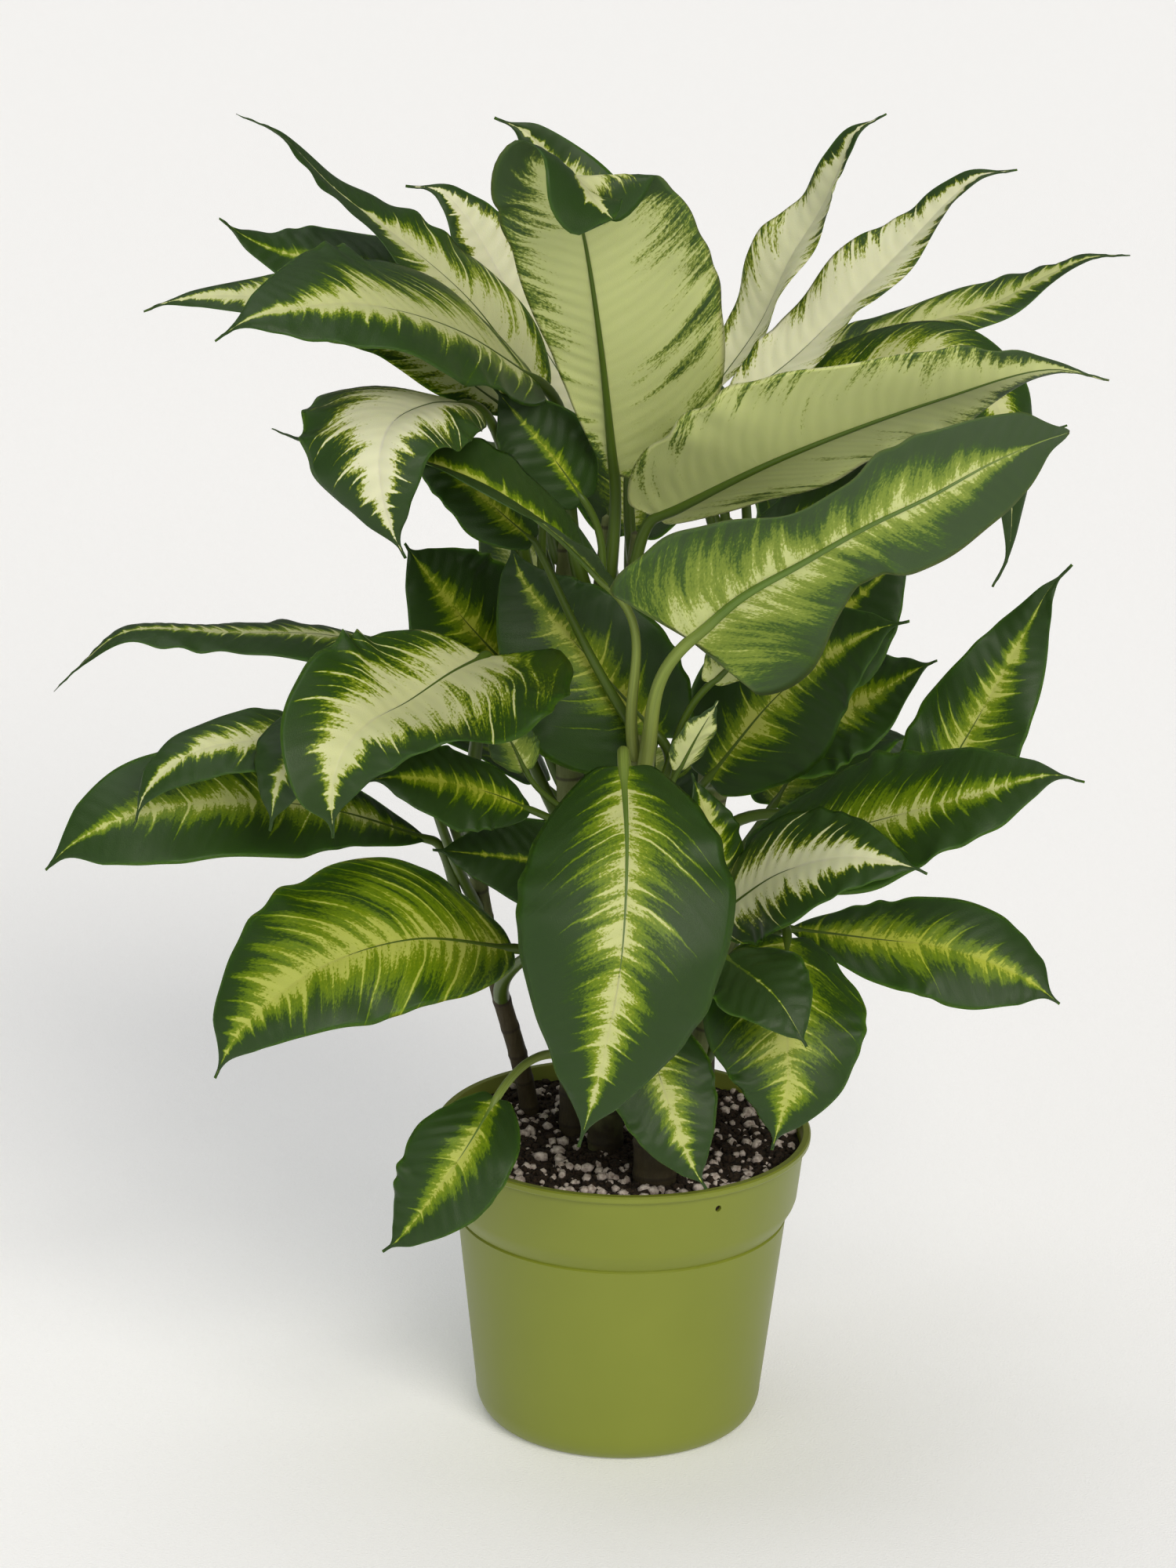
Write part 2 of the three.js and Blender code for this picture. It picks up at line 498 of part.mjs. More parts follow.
// Half the blade's width at a share of its length.
function halfWidth({ wide, point: sum = BLADE_POINT, tail = TAIL.narrow, waist = 0 }, share, peak) {
  const rise = (share / peak) ** (sum * peak);
  const fall = ((1 - share) / (1 - peak)) ** (sum * (1 - peak));
  const drawn = 1 - tail * THREE.MathUtils.smoothstep(share, TAIL.start, 1);
  const waisted = 1 - waist * Math.exp(-(((share - WAIST.at) / WAIST.length) ** 2));
  return Math.max((wide / 2) * rise * fall * drawn * waisted, TIP_HALF);
}

// A blade's ring at a share of its length: the upper face from left to right, then the lower back.
function bladeRing(leaf, midrib, frame, share, phase) {
  const { wide, fold, droop, wave, lobe = BLADE_LOBE, lean = 0, peak = BLADE_PEAK } = leaf;
  const sweep = wide * Math.max(0, 1 - share / LOBE_END) ** 2;
  const swing = Math.sin(Math.PI * share) * wave;
  const upper = [];
  const lower = [];
  for (const u of BLADE_ACROSS) {
    const half = halfWidth(leaf, share, u < 0 ? peak : leaf.rightPeak ?? peak);
    const lift = half * Math.sin(THREE.MathUtils.degToRad(fold));
    const back = sweep * (u < 0 ? lobe : leaf.rightLobe ?? lobe);
    const curl = (droop / 100) * half * u * u;
    const ripple = swing * u * u * Math.sin(2 * Math.PI * (WAVES * share + phase) + u);
    const place = midrib.getPointAt(share)
      .addScaledVector(frame.side, u * half * (1 + lean * Math.sign(u)))
      .addScaledVector(frame.up, Math.abs(u) * lift - curl + ripple)
      .addScaledVector(frame.along, -back * u * u);
    const slope = Math.sign(u) * lift - 2 * (droop / 100) * half * u;
    const normal = frame.up.clone().addScaledVector(frame.side, -slope / half).normalize();
    const rib = u === 0 ? MIDRIB * (1 - share) * (wide / STALK.forLeaf) : 0;
    upper.push(place.clone().addScaledVector(normal, BLADE_THICK / 2));
    lower.unshift(place.clone().addScaledVector(normal, -BLADE_THICK / 2 - rib));
  }
  return [...upper, ...lower];
}

function frameAt(curve, share, face) {
  const along = curve.getTangentAt(share);
  const up = across(face, along);
  return { along, up, side: along.clone().cross(up) };
}

// The stalk's rings from inside its cane to the blade's base, their frames carried back from there.
function stalkRings(stalk, base, thick) {
  const rings = [];
  let { up } = base;
  for (let i = STALK.rings - 1; i >= 0; i -= 1) {
    const share = i / (STALK.rings - 1);
    const along = stalk.getTangentAt(share);
    up = across(up, along);
    const radius = thick * (STALK.radius + STALK.foot * (1 - share) ** 2);
    rings.unshift(roundRing(stalk.getPointAt(share), along.clone().cross(up), up, radius));
  }
  return rings;
}

// The stalk follows its cane, leans out and meets the blade along the midrib.
function stalkCurve({ place, along }, end, base, bendShare = STALK_BEND) {
  const length = place.distanceTo(end);
  const out = end.clone().sub(place).setZ(0).normalize();
  const rise = place.clone().addScaledVector(along, STALK_RISE * length);
  rise.addScaledVector(out, STALK_OUT * length);
  const bend = end.clone().addScaledVector(base.along, -bendShare * length);
  return new THREE.CubicBezierCurve3(place, rise, bend, end);
}

function makeLeaf(leaf, cane, phase) {
  const midrib = new THREE.CatmullRomCurve3(leaf.spine.map(point));
  const face = point(leaf.face);
  const tipFace = point(leaf.tipFace ?? leaf.face);
  const base = frameAt(midrib, 0, face);
  const stalk = stalkCurve(onCane(cane, leaf.up), midrib.getPointAt(0), base, leaf.bend);
  const thick = Math.sqrt(leaf.wide / STALK.forLeaf);
  const { least, most } = BLADE_STATIONS;
  const stations = THREE.MathUtils.clamp(Math.round(midrib.getLength() / BLADE_STEP), least, most);
  const rings = stalkRings(stalk, base, thick);
  for (let i = 1; i <= stations; i += 1) {
    const share = (i / stations) ** BLADE_CROWD;
    const twist = Math.max(0, (share - (leaf.twist ?? 0)) / (1 - (leaf.twist ?? 0)));
    const turned = face.clone().lerp(tipFace, twist);
    rings.push(bladeRing(leaf, midrib, frameAt(midrib, share, turned), share, phase));
  }
  return largestBody(toSolid(loft(rings)).subtract(cane.clearance));
}

// ---- the plant ------------------------------------------------------------------------------

const plant = new THREE.Group();

function addMesh(name, solid, material) {
  const mesh = new THREE.Mesh(toGeometry(solid), MATERIALS[material]);
  mesh.name = name;
  plant.add(mesh);
}

const canes = Object.fromEntries(Object.entries(CANES).map(([name, form]) => [name, makeCane(form)]));
const leafPhase = seeded(LEAF_SEED);

addMesh('pot', makePot(), 'pot');
addMesh('soil', makeSoil(Object.values(canes)), 'soil');
for (const [name, cane] of Object.entries(canes)) addMesh(`cane_${name}`, cane.solid, 'cane');
for (const [name, leaf] of Object.entries(LEAVES)) {
  addMesh(`leaf_${name}`, makeLeaf(leaf, canes[leaf.cane], leafPhase()), 'leaf');
}

export default plant;
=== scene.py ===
"""A potted dieffenbachia: canes with broad variegated leaves in a lime-green grower pot.

Sizes are millimetres and are scaled to metres when a piece is finished. +Z is up, the origin is
the middle of the pot's underside and the photographed front is toward -Y.
"""
import math
import random

import bmesh
import bpy
import numpy as np
from mathutils import Matrix, Vector


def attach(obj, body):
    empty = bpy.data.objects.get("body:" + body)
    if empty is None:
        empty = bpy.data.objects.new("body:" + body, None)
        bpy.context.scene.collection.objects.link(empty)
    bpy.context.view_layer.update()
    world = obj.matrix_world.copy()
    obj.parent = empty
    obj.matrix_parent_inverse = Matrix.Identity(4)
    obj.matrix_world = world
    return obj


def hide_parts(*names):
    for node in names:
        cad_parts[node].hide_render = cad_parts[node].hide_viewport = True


MM = 0.001
CM = 10  # the veins UV map is in centimetres
WELD = 1e-3  # points closer than this become one

# ---- pot ----

POT_HEIGHT = 138
POT_WALL = 1.6
POT_FLOOR = 2
RIM_RADIUS = 85
LIP_OUT = 2.2  # how far the rolled edge stands out from the collar
LIP_FOOT = 4  # where the rolled edge leaves the collar, down from the pot's top
LIP_ROLL = [(-0.5, -3.3), (0, -2.6), (0, -0.7), (-0.7, 0)]  # out from the rim, up from the top
LIP_INNER = (0.5, 0.6)  # how far its inner corner is rounded, out and down
COLLAR_LOW = (79.5, 108)  # radius and height
BODY_TOP = (74.8, 98)
BODY_LOW = (65.4, 14)
STEP_LOW = (0.3, 1.2)  # the step's lower bend, out and up from the body's top
STEP_HIGH = (-0.9, -2.6)  # and its upper bend, from the collar's foot
CREASE = (0.8, 0.7)  # the groove where the step meets the body: its depth and half its height
FOOT_RADIUS = 56.4
FOOT_STEPS = 12
SPIN_STEPS = 144
DRAIN = dict(holes=8, radius=4, circle=49)
COLLAR_HOLE = dict(radius=1.5, circle=82, height=127.5, turn=-59)
DRILL_LENGTH = 8
DRILL_SIDES = 24
POT_CRISP = 35  # degrees past which an edge of the pot is crisp

# ---- soil ----

SOIL_TOP = 131
SOIL_GAP = 0.3  # between the soil and the pot's wall
SOIL_CELLS = 90
SOIL_SEED = 11
SOIL_GRIT = 0.35
# waves that heap the surface: height, how long along x and along y, and start
SOIL_WAVES = [(0.45, 9, 11, 1), (0.45, 9, -11, 1), (0.7, 4.3, -5.1, 0), (0.4, 2.1, 2.7, 0)]
# size is a radius; room to a cane and rise above the surface are shares of it; a spread of 0.5
# covers the soil evenly, and a lower one crowds the rim
CRUMBS = dict(count=2400, size=(0.8, 3.2), room=0.3, rise=0.25, spread=0.5)
CRUMB_LEFT = (0.5, 1)  # the share of that size that a broken crumb keeps
GRAINS = dict(count=620, size=(0.9, 3.3), room=0.5, rise=0.4, spread=0.42)
GRAINS_SMALL = 1.6  # a power: above 1, more of the grains are small
LUMP_BATCH = 40
LUMP_STRETCH = [(0.75, 1.15), (0.75, 1.15), (0.6, 0.95)]  # least and most along x, y and z
LUMP_DENT = (0.78, 1.18)

# ---- canes ----

CANE_DEPTH = 34  # how far a cane reaches down into the soil
CANE_SHOOT = 0.9  # past this share of its length a cane narrows to a rolled young leaf
CANE_TIP = 0.3
CANE_SIDES = 24
CANE_STEP = 1.6  # between the rings of a cane's mesh
CANE_READINGS = 400  # places at which a cane's height is read to find a stalk's foot
NODE_STEP = 15  # between the scars that old leaves left
NODE_RISE = 0.07  # how far a scar's rim stands out, as a share of the radius
NODE_HALF = 1.4  # half the height of that rim

# radius at foot and top, the height up to which cork covers the cane, and the route from the
# soil's surface to the shoot
CANES = {
    "front": dict(foot=10.5, top=6.5, bark=250,
        route=[(14, -47, 131), (12, -45, 190), (6, -41, 260), (2, -38, 336)]),
    "middle": dict(foot=8.5, top=6, bark=150,
        route=[(-8, -8, 131), (-9, -6, 220), (-11, -4, 330), (-13, -4, 425)]),
    "back": dict(foot=8, top=6, bark=190,
        route=[(8, 40, 131), (6, 42, 220), (2, 44, 330), (0, 44, 405)]),
    "left": dict(foot=4.6, top=4, bark=230,
        route=[(-43, 33, 131), (-48, 25, 160), (-58, 15, 200), (-70, 0, 270)]),
    "right": dict(foot=5, top=4, bark=140,
        route=[(26, -12, 131), (30, -16, 165), (36, -19, 200), (50, -20, 258)]),
    "rear_left": dict(foot=7.5, top=5.5, bark=170,
        route=[(-22, 12, 131), (-24, 14, 220), (-28, 14, 320), (-32, 12, 410)]),
    "rear_right": dict(foot=8, top=6, bark=200,
        route=[(34, 30, 131), (35, 32, 220), (38, 32, 320), (42, 32, 415)]),
}

# ---- leaves ----

LEAF_SEED = 5
LEAF_APART = (40, 60)  # how far the patterns of leaves lie apart, along the veins and in depth
FULL_WIDE = 90  # the width of a blade whose frills and stalk have their full size
BLADE_ROWS = 110
BLADE_COLUMNS = 32
ROW_CROWDING = 1.15  # a power: above 1, the rows are closer at the blade's base
COLUMN_CROWDING = 1.2  # and the columns at its midrib
BLADE_THICK = 0.7
BLADE_EDGE = (6, 0.03)  # how sharply it thins at the margins, and over what share at its ends
LOBE_END = 0.25
LOBE_ROUND = 0.35  # the lobes sweep back in full once the blade is this share of its width
TAIL_START = 0.7  # where the blade starts to draw in toward its tip
THREAD = (0.87, 0.97)  # where the thread of the drip tip starts, and where it is thin
WAIST = (0.42, 0.17)  # where a waisted blade is narrowest, and how long the waist is
TIP_HALF = (0.7, 0.02)  # the least half width, and where the blade has reached it
WAVES = 2.6
FRILLS = 6.3  # small waves along a margin
FRILL_RISE = 1.9
FRILL_START = 0.45  # the share of the half width beyond which a blade is frilled
FRILL_DRIFT = (0.07, 1.9)  # how unevenly the frills are spaced, and in how many swings
FRILL_SWELL = (0.6, 0.4, 1.4)  # their mean size, what it gains and loses, and in how many swings
NOTCH = 0.028  # how much the frills change the half width
VEIN_STEP = 7.5  # between side veins
VEIN_RISE = 0.2
VEIN_RAKE = 0.34  # how far a side vein runs toward the tip as it leaves the midrib
VEIN_CURVE = 0.5  # and how much it bends further that way by the margin
QUILT_IN = (0.05, 0.3)  # across the half width, where the quilting between veins sets in
QUILT_OUT = (0.7, 0.98)  # and where it dies out

# rise: how far a stalk climbs along its cane, and out: how far it leaves it level, as shares of
# its length; foot: what its radius gains at the cane
STALK = dict(radius=2.5, foot=1.6, rise=0.4, out=0.25, rings=26, sides=14)
# the stalk goes on as the midrib. end: where that stops. tip, taper and neck: what is left of its
# radius there, how it shrinks, and what a narrowing near the base leaves. sink: how far its middle
# lies under the blade, as a share of its radius, once past the share of the length called sunk
RIB = dict(rings=48, end=0.985, tip=0.12, taper=1.3, neck=(0.8, 8), sink=0.55, sunk=0.06)

# cane and up: where the stalk leaves its cane. spine: the midrib from the blade's base to its tip.
# face: the way the upper side looks, and tip_face the same at the tip of a blade that turns over
# between the share of its length called twist and its tip. fold: degrees that each half is lifted
# to a valley. droop: how far the margins bend away from the face, in hundredths of the half width.
# wave: height of a margin's waves. peak: where the blade is widest. point: how slim it gets toward
# both ends. waist, tail and thread: how much it draws in at mid-length, toward its tip and at the
# drip tip. lobe: how far its lobes reach back. right_peak and right_lobe: the same for the right
# half alone. lean: how much wider the right half is. bend: how far ahead of the blade its stalk
# turns along the midrib. stem: how far the stalk keeps its own pale colour; at 0 it is a dark
# green that is painted shade, for a stalk that lies in shade. look: the share of the half width
# that the pale centre covers, the share of that which is cream, and its age from white cream to
# yellow-green. fade: where along the blade the pale centre ends.
MOST_LEAVES = dict(fold=10, droop=20, wave=2, peak=0.39, point=1.8, waist=0, tail=0.3,
    thread=0.72, lobe=0.1, lean=0, twist=0, bend=0.35, stem=0, fade=1)

# what each leaf has of its own; the rest is as on most leaves
LEAVES = {
    "crown_front": dict(cane="middle", up=385, wide=85, face=(0, 0.9, 0.42), fold=8, wave=2.2,
        peak=0.42, lean=-0.245, thread=0, twist=0.86, tip_face=(0.3, -0.7, 0.65), right_peak=0.75,
        point=1.1, tail=0, look=(0.95, 0.7, 0.45),
        spine=[(-10, -22, 447), (-17, -55, 512), (-24, -82, 560), (-29, -100, 583),
            (-31, -112, 594), (-27, -125, 594), (-20, -134, 588), (-13, -139, 582)]),
    "crown_back": dict(cane="back", up=385, wide=52, face=(-0.15, -0.85, 0.35), fold=14,
        look=(0.6, 0.5, 0.35),
        spine=[(-6, 66, 467), (-16, 88, 516), (-36, 96, 552), (-51, 98, 572), (-66, 98, 579)]),
    "crown_left_back": dict(cane="middle", up=400, wide=50, face=(0.35, -0.75, 0.5), fold=16,
        look=(0.85, 0.75, 0.05),
        spine=[(-14, 36, 445), (-51, 61, 497), (-87, 65, 551), (-104, 65, 554)]),
    "crown_left_high": dict(cane="rear_left", up=395, wide=58, face=(0.6, -0.5, 0.6), droop=10,
        tip_face=(0.73, 0.08, 0.65), peak=0.27, fade=0.62, look=(0.95, 0.4, 0.4),
        spine=[(-45, 24, 473), (-74, 27, 511), (-105, 27, 538), (-133, 24, 560), (-158, 20, 585),
            (-175, 18, 593)]),
    "crown_left_broad": dict(cane="middle", up=370, wide=92, face=(0, -0.5, 0.86), droop=25,
        wave=3.2, lean=0.15, look=(0.5, 0.3, 0.55),
        spine=[(-44, -14, 486), (-79, -50, 516), (-116, -88, 534), (-141, -105, 536),
            (-160, -114, 533), (-174, -116, 524)]),
    "crown_left_far": dict(cane="rear_left", up=376, wide=54, face=(0, -0.5, 0.85), droop=25,
        look=(0.25, 0.0, 0.8),
        spine=[(-74, 46, 484), (-112, 42, 518), (-158, 34, 530), (-172, 30, 537), (-183, 26, 546)]),
    "crown_left_low": dict(cane="rear_left", up=362, wide=42, face=(0.05, -0.45, 0.88),
        look=(0.8, 0.5, 0.4),
        spine=[(-56, -3, 470), (-118, -8, 511), (-177, -16, 521), (-202, -18, 518),
            (-212, -18, 514)]),
    "crown_right_tall": dict(cane="rear_right", up=395, wide=40, face=(-0.8, -0.42, 0.4), fold=24,
        droop=6, wave=3.4, look=(0.95, 0.8, 0.15),
        spine=[(33, 44, 469), (53, 50, 498), (66, 54, 527), (79, 57, 549), (87, 58, 568),
            (93, 58, 583), (106, 58, 591)]),
    "crown_right_high": dict(cane="rear_right", up=380, wide=42, face=(-0.55, -0.45, 0.7), fold=24,
        droop=8, wave=3.4, look=(0.95, 0.8, 0.1),
        spine=[(38, 12, 468), (68, 15, 492), (94, 22, 518), (116, 29, 540), (135, 34, 560),
            (146, 34, 569), (162, 34, 572)]),
    "crown_right_slim": dict(cane="rear_right", up=366, wide=48, face=(0.05, -0.2, 0.97), fold=14,
        look=(0.75, 0.3, 0.6),
        spine=[(61, 42, 467), (95, 50, 486), (128, 52, 500), (155, 51, 509), (178, 50, 522),
            (197, 48, 531), (214, 46, 533)]),
    "crown_right_arch": dict(cane="rear_right", up=356, wide=58, face=(0.25, -0.35, 0.9), fold=12,
        droop=25, tip_face=(0.6, -0.75, 0.2), peak=0.3, tail=0.6, fade=0.8, look=(0.7, 0.4, 0.5),
        spine=[(52, 12, 457), (97, 10, 482), (135, 0, 492), (153, -12, 479), (159, -20, 459),
            (160, -26, 415), (154, -28, 402)]),
    "crown_right_under": dict(cane="middle", up=350, wide=88, face=(-0.22, 0.76, 0.6), fold=18,
        droop=10, wave=2.4, bend=0.15, peak=0.32, look=(1.2, 0.75, 0.5),
        spine=[(8, -35, 432), (61, -66, 468), (124, -84, 498), (169, -90, 513), (193, -92, 509)]),
    "middle_right_under": dict(cane="front", up=309, wide=100, face=(-0.15, 0.93, 0.3), fold=8,
        wave=2.6, peak=0.12, lobe=0.05, thread=0.5, stem=1, point=0.62, waist=0.45, tail=0,
        right_peak=0.1, right_lobe=0, fade=0.9, look=(0.62, 0.0, 0.5),
        spine=[(23, -82, 391), (43, -92, 413), (69, -102, 432), (94, -108, 449), (120, -106, 462),
            (146, -98, 475), (167, -88, 482), (179, -80, 484)]),
    "middle_left_hook": dict(cane="rear_left", up=338, wide=70, face=(-0.1, -0.5, 0.86), fold=14,
        droop=40, wave=2.4, lean=0.2, tip_face=(-0.3, -0.9, 0.1), look=(0.6, 0.65, 0.1),
        spine=[(-74, -50, 484), (-88, -82, 491), (-102, -114, 490), (-106, -132, 480),
            (-104, -138, 464), (-100, -136, 450), (-95, -134, 439)]),
    "middle_left_back": dict(cane="front", up=345, wide=34, face=(0.15, -0.75, 0.55), wave=2.2,
        bend=0.05, look=(0.3, 0.0, 1.0),
        spine=[(-44, -44, 423), (-59, -48, 437), (-82, -52, 460), (-103, -47, 476)]),
    "middle_left_fold": dict(cane="front", up=322, wide=50, face=(0.2, -0.1, 0.97), fold=26,
        droop=10, stem=0.9, lean=-0.18, look=(0.2, 0.0, 0.9),
        spine=[(-9, -66, 407), (-36, -78, 437), (-65, -80, 457), (-100, -74, 467), (-137, -62, 468),
            (-155, -56, 473)]),
    "middle_left_shade": dict(cane="rear_left", up=290, wide=66, face=(0.35, -0.8, 0.5), fold=12,
        droop=15, look=(0.28, 0.0, 1.0),
        spine=[(-53, 22, 344), (-76, 14, 372), (-96, 6, 400), (-101, 4, 408)]),
    "middle_broad": dict(cane="front", up=284, wide=76, face=(-0.2, -0.88, 0.42), droop=15,
        wave=2.2, lobe=0.2, lean=-0.15, peak=0.32, look=(0.3, 0.0, 0.95),
        spine=[(12, -31, 332), (-18, -31, 366), (-48, -22, 399), (-55, -16, 417)]),
    "left_butterfly": dict(cane="left", up=268, wide=88, face=(0.1, -0.5, 0.86), fold=24, droop=10,
        wave=3.2, lobe=0.45, bend=0.1, peak=0.28, right_peak=0.5, right_lobe=0, lean=-0.2,
        look=(0.62, 0.4, 0.42),
        spine=[(-64, -53, 374), (-78, -80, 374), (-95, -106, 369), (-111, -130, 366),
            (-120, -143, 358), (-124, -149, 345), (-124, -147, 322)]),
    "left_long": dict(cane="rear_left", up=270, wide=62, face=(0, 0, 1), fold=6, droop=25, wave=1.6,
        peak=0.3, look=(0.3, 0.15, 0.5),
        spine=[(-79, 22, 346), (-131, 10, 363), (-178, -4, 368), (-222, -14, 370), (-241, -18, 356),
            (-253, -18, 344)]),
    "left_hook": dict(cane="left", up=234, wide=44, face=(0, -0.4, 0.9), droop=25, bend=0.15,
        look=(0.5, 0.35, 0.4),
        spine=[(-103, -72, 338), (-153, -96, 348), (-186, -112, 346), (-203, -118, 332),
            (-209, -118, 316)]),
    "left_under": dict(cane="left", up=252, wide=50, face=(-0.1, -0.45, 0.88), droop=30, bend=0.15,
        look=(0.35, 0.2, 0.5),
        spine=[(-96, -90, 350), (-129, -114, 358), (-146, -130, 344), (-151, -133, 320)]),
    "left_low_long": dict(cane="left", up=205, wide=62, face=(0.05, -0.6, 0.8), wave=2.4, peak=0.6,
        bend=0.15, look=(0.4, 0.0, 0.7),
        spine=[(-87, -22, 280), (-130, -52, 303), (-172, -82, 316), (-211, -100, 315),
            (-236, -104, 303), (-248, -104, 291)]),
    "left_low_back": dict(cane="front", up=262, wide=38, face=(0.1, -0.75, 0.65), bend=0.2,
        lean=-0.1, peak=0.5, look=(0.35, 0.0, 1.0),
        spine=[(-43, -53, 305), (-61, -67, 317), (-82, -83, 327), (-101, -97, 333),
            (-112, -103, 333)]),
    "left_low_slim": dict(cane="front", up=240, wide=46, face=(0, -0.65, 0.76), wave=1.6,
        look=(0.1, 0.0, 1.0),
        spine=[(-11, -24, 268), (-47, -34, 276), (-86, -44, 283)]),
    "left_low_broad": dict(cane="left", up=190, wide=78, face=(-0.05, -0.7, 0.68), fold=8, wave=2.4,
        peak=0.44, lean=0.15, look=(0.75, 0.0, 0.9),
        spine=[(-50, -44, 238), (-94, -80, 254), (-131, -100, 248), (-161, -112, 228),
            (-170, -114, 215), (-176, -112, 201)]),
    "front_centre": dict(cane="front", up=268, wide=91, face=(0, -0.95, 0.3), fold=6, droop=25,
        wave=1.8, stem=0.7, look=(0.4, 0.05, 0.6),
        spine=[(-4, -88, 337), (-2, -128, 309), (-4, -150, 268), (-13, -152, 216),
            (-20, -148, 187)]),
    "front_left_small": dict(cane="middle", up=150, wide=48, face=(-0.25, -0.85, 0.45), droop=15,
        wave=1.6, stem=1, look=(0.32, 0.0, 0.9),
        spine=[(-56, -86, 184), (-71, -106, 164), (-97, -112, 128), (-104, -112, 122)]),
    "front_right_small": dict(cane="front", up=180, wide=46, face=(0.15, -0.93, 0.3), fold=12,
        droop=15, wave=1.4, look=(0.42, 0.12, 0.7),
        spine=[(6, -62, 216), (16, -80, 189), (30, -90, 155), (36, -90, 145)]),
    "right_droop": dict(cane="right", up=190, wide=72, face=(0.1, -0.93, 0.35), fold=8,
        look=(0.6, 0.06, 0.85),
        spine=[(70, -34, 242), (69, -70, 221), (70, -88, 193), (64, -88, 163)]),
    "right_small_blue": dict(cane="right", up=208, wide=42, face=(0.1, -0.75, 0.65), fold=12,
        wave=1.6, look=(0.03, 0.0, 0.8),
        spine=[(42, -84, 250), (63, -114, 243), (76, -124, 225)]),
    "right_low_far": dict(cane="right", up=168, wide=50, face=(0, -0.75, 0.65), droop=25, wave=1.8,
        peak=0.58, look=(0.5, 0.0, 1.0),
        spine=[(71, -8, 237), (108, -14, 235), (142, -20, 233), (176, -26, 222), (192, -28, 211)]),
    "right_low_cream": dict(cane="right", up=218, wide=60, face=(0.05, -0.7, 0.72), wave=1.6,
        look=(0.5, 0.6, 0.2),
        spine=[(40, -44, 256), (66, -74, 286), (95, -100, 302), (120, -110, 301),
            (125, -111, 299)]),
    "right_low_long": dict(cane="right", up=228, wide=72, face=(0.1, -0.62, 0.78), fold=12, wave=3,
        look=(0.4, 0.0, 0.7),
        spine=[(50, -18, 274), (97, -50, 299), (142, -74, 321), (178, -84, 335), (192, -86, 333)]),
    "right_upright": dict(cane="rear_right", up=262, wide=50, face=(-0.1, -0.88, 0.42), droop=15,
        wave=3.5, peak=0.28, fade=0.85, look=(0.42, 0.05, 0.85),
        spine=[(132, 26, 283), (156, 28, 328), (177, 32, 370), (184, 33, 384), (194, 33, 396)]),
    "right_middle": dict(cane="rear_right", up=285, wide=68, face=(0.1, -0.82, 0.55), fold=12,
        droop=15, wave=1.8, look=(0.28, 0.0, 0.9),
        spine=[(34, 4, 302), (66, -18, 351), (102, -48, 387), (117, -56, 394)]),
    "right_middle_back": dict(cane="rear_right", up=275, wide=56, face=(0.1, -0.6, 0.78), droop=15,
        wave=1.8, look=(0.4, 0.0, 0.9),
        spine=[(55, 40, 304), (96, 32, 327), (130, 20, 352), (135, 18, 355)]),
    "right_behind": dict(cane="rear_right", up=292, wide=60, face=(0.25, -0.7, 0.6), fold=12,
        droop=15, look=(0.12, 0.0, 1.0),
        spine=[(60, 14, 342), (76, 12, 362), (97, 10, 384), (122, 12, 409)]),
    "right_inner": dict(cane="right", up=238, wide=30, face=(0.55, -0.75, 0.3), fold=20, droop=10,
        wave=1.4, look=(0.7, 0.3, 0.7),
        spine=[(38, -32, 250), (35, -38, 290), (26, -36, 318)]),
    "behind_fold": dict(cane="back", up=350, wide=38, face=(0.1, 0.8, 0.6), fold=8, droop=15,
        wave=1.8, look=(0.6, 0.3, 0.6),
        spine=[(-41, 46, 374), (-56, 50, 398), (-70, 54, 421)]),
    "right_hidden": dict(cane="rear_right", up=330, wide=52, face=(0.1, -0.4, 0.9), wave=1.6,
        look=(0.2, 0.0, 0.9),
        spine=[(50, 10, 410), (94, 12, 430), (143, 14, 445), (171, 14, 458), (187, 14, 464)]),
    "right_pale": dict(cane="front", up=290, wide=38, face=(-0.1, 0.7, 0.7), fold=8, droop=15,
        wave=1.6, look=(0.8, 0.6, 0.4),
        spine=[(33, -60, 366), (52, -69, 388), (76, -76, 408), (96, -77, 424)]),
    "right_pale_small": dict(cane="front", up=262, wide=20, face=(-0.3, 0.7, 0.6), droop=10, wave=1,
        look=(0.8, 0.8, 0.25),
        spine=[(20, -58, 326), (27, -62, 342), (36, -66, 360)]),
    "left_pale_small": dict(cane="front", up=272, wide=22, face=(-0.2, 0.8, 0.4), droop=10, wave=1,
        look=(0.6, 0.0, 0.6),
        spine=[(-46, -50, 322), (-52, -55, 336), (-60, -61, 350)]),
    "rear_high": dict(cane="back", up=350, wide=84, face=(0, -0.5, 0.85), wave=2.2,
        look=(0.5, 0.2, 0.6),
        spine=[(-2, 68, 396), (0, 96, 434), (4, 134, 456), (8, 166, 444), (10, 180, 424)]),
    "rear_left_out": dict(cane="back", up=335, wide=80, face=(-0.3, 0.4, 0.85), wave=2.2,
        look=(0.5, 0.2, 0.6),
        spine=[(-44, 76, 396), (-80, 106, 424), (-108, 130, 418), (-126, 148, 384)]),
    "rear_right_out": dict(cane="rear_right", up=340, wide=76, face=(0.3, 0.4, 0.85), wave=2.2,
        look=(0.5, 0.1, 0.7),
        spine=[(66, 66, 396), (92, 98, 424), (114, 130, 416), (128, 152, 382)]),
    "rear_low_left": dict(cane="back", up=235, wide=70, face=(-0.4, 0.4, 0.82),
        look=(0.5, 0.0, 0.8),
        spine=[(-42, 72, 278), (-76, 98, 300), (-106, 122, 290), (-124, 138, 256)]),
    "rear_low_right": dict(cane="rear_right", up=225, wide=70, face=(0.4, 0.4, 0.82),
        look=(0.5, 0.0, 0.85),
        spine=[(66, 66, 270), (90, 96, 298), (112, 124, 290), (126, 144, 254)]),
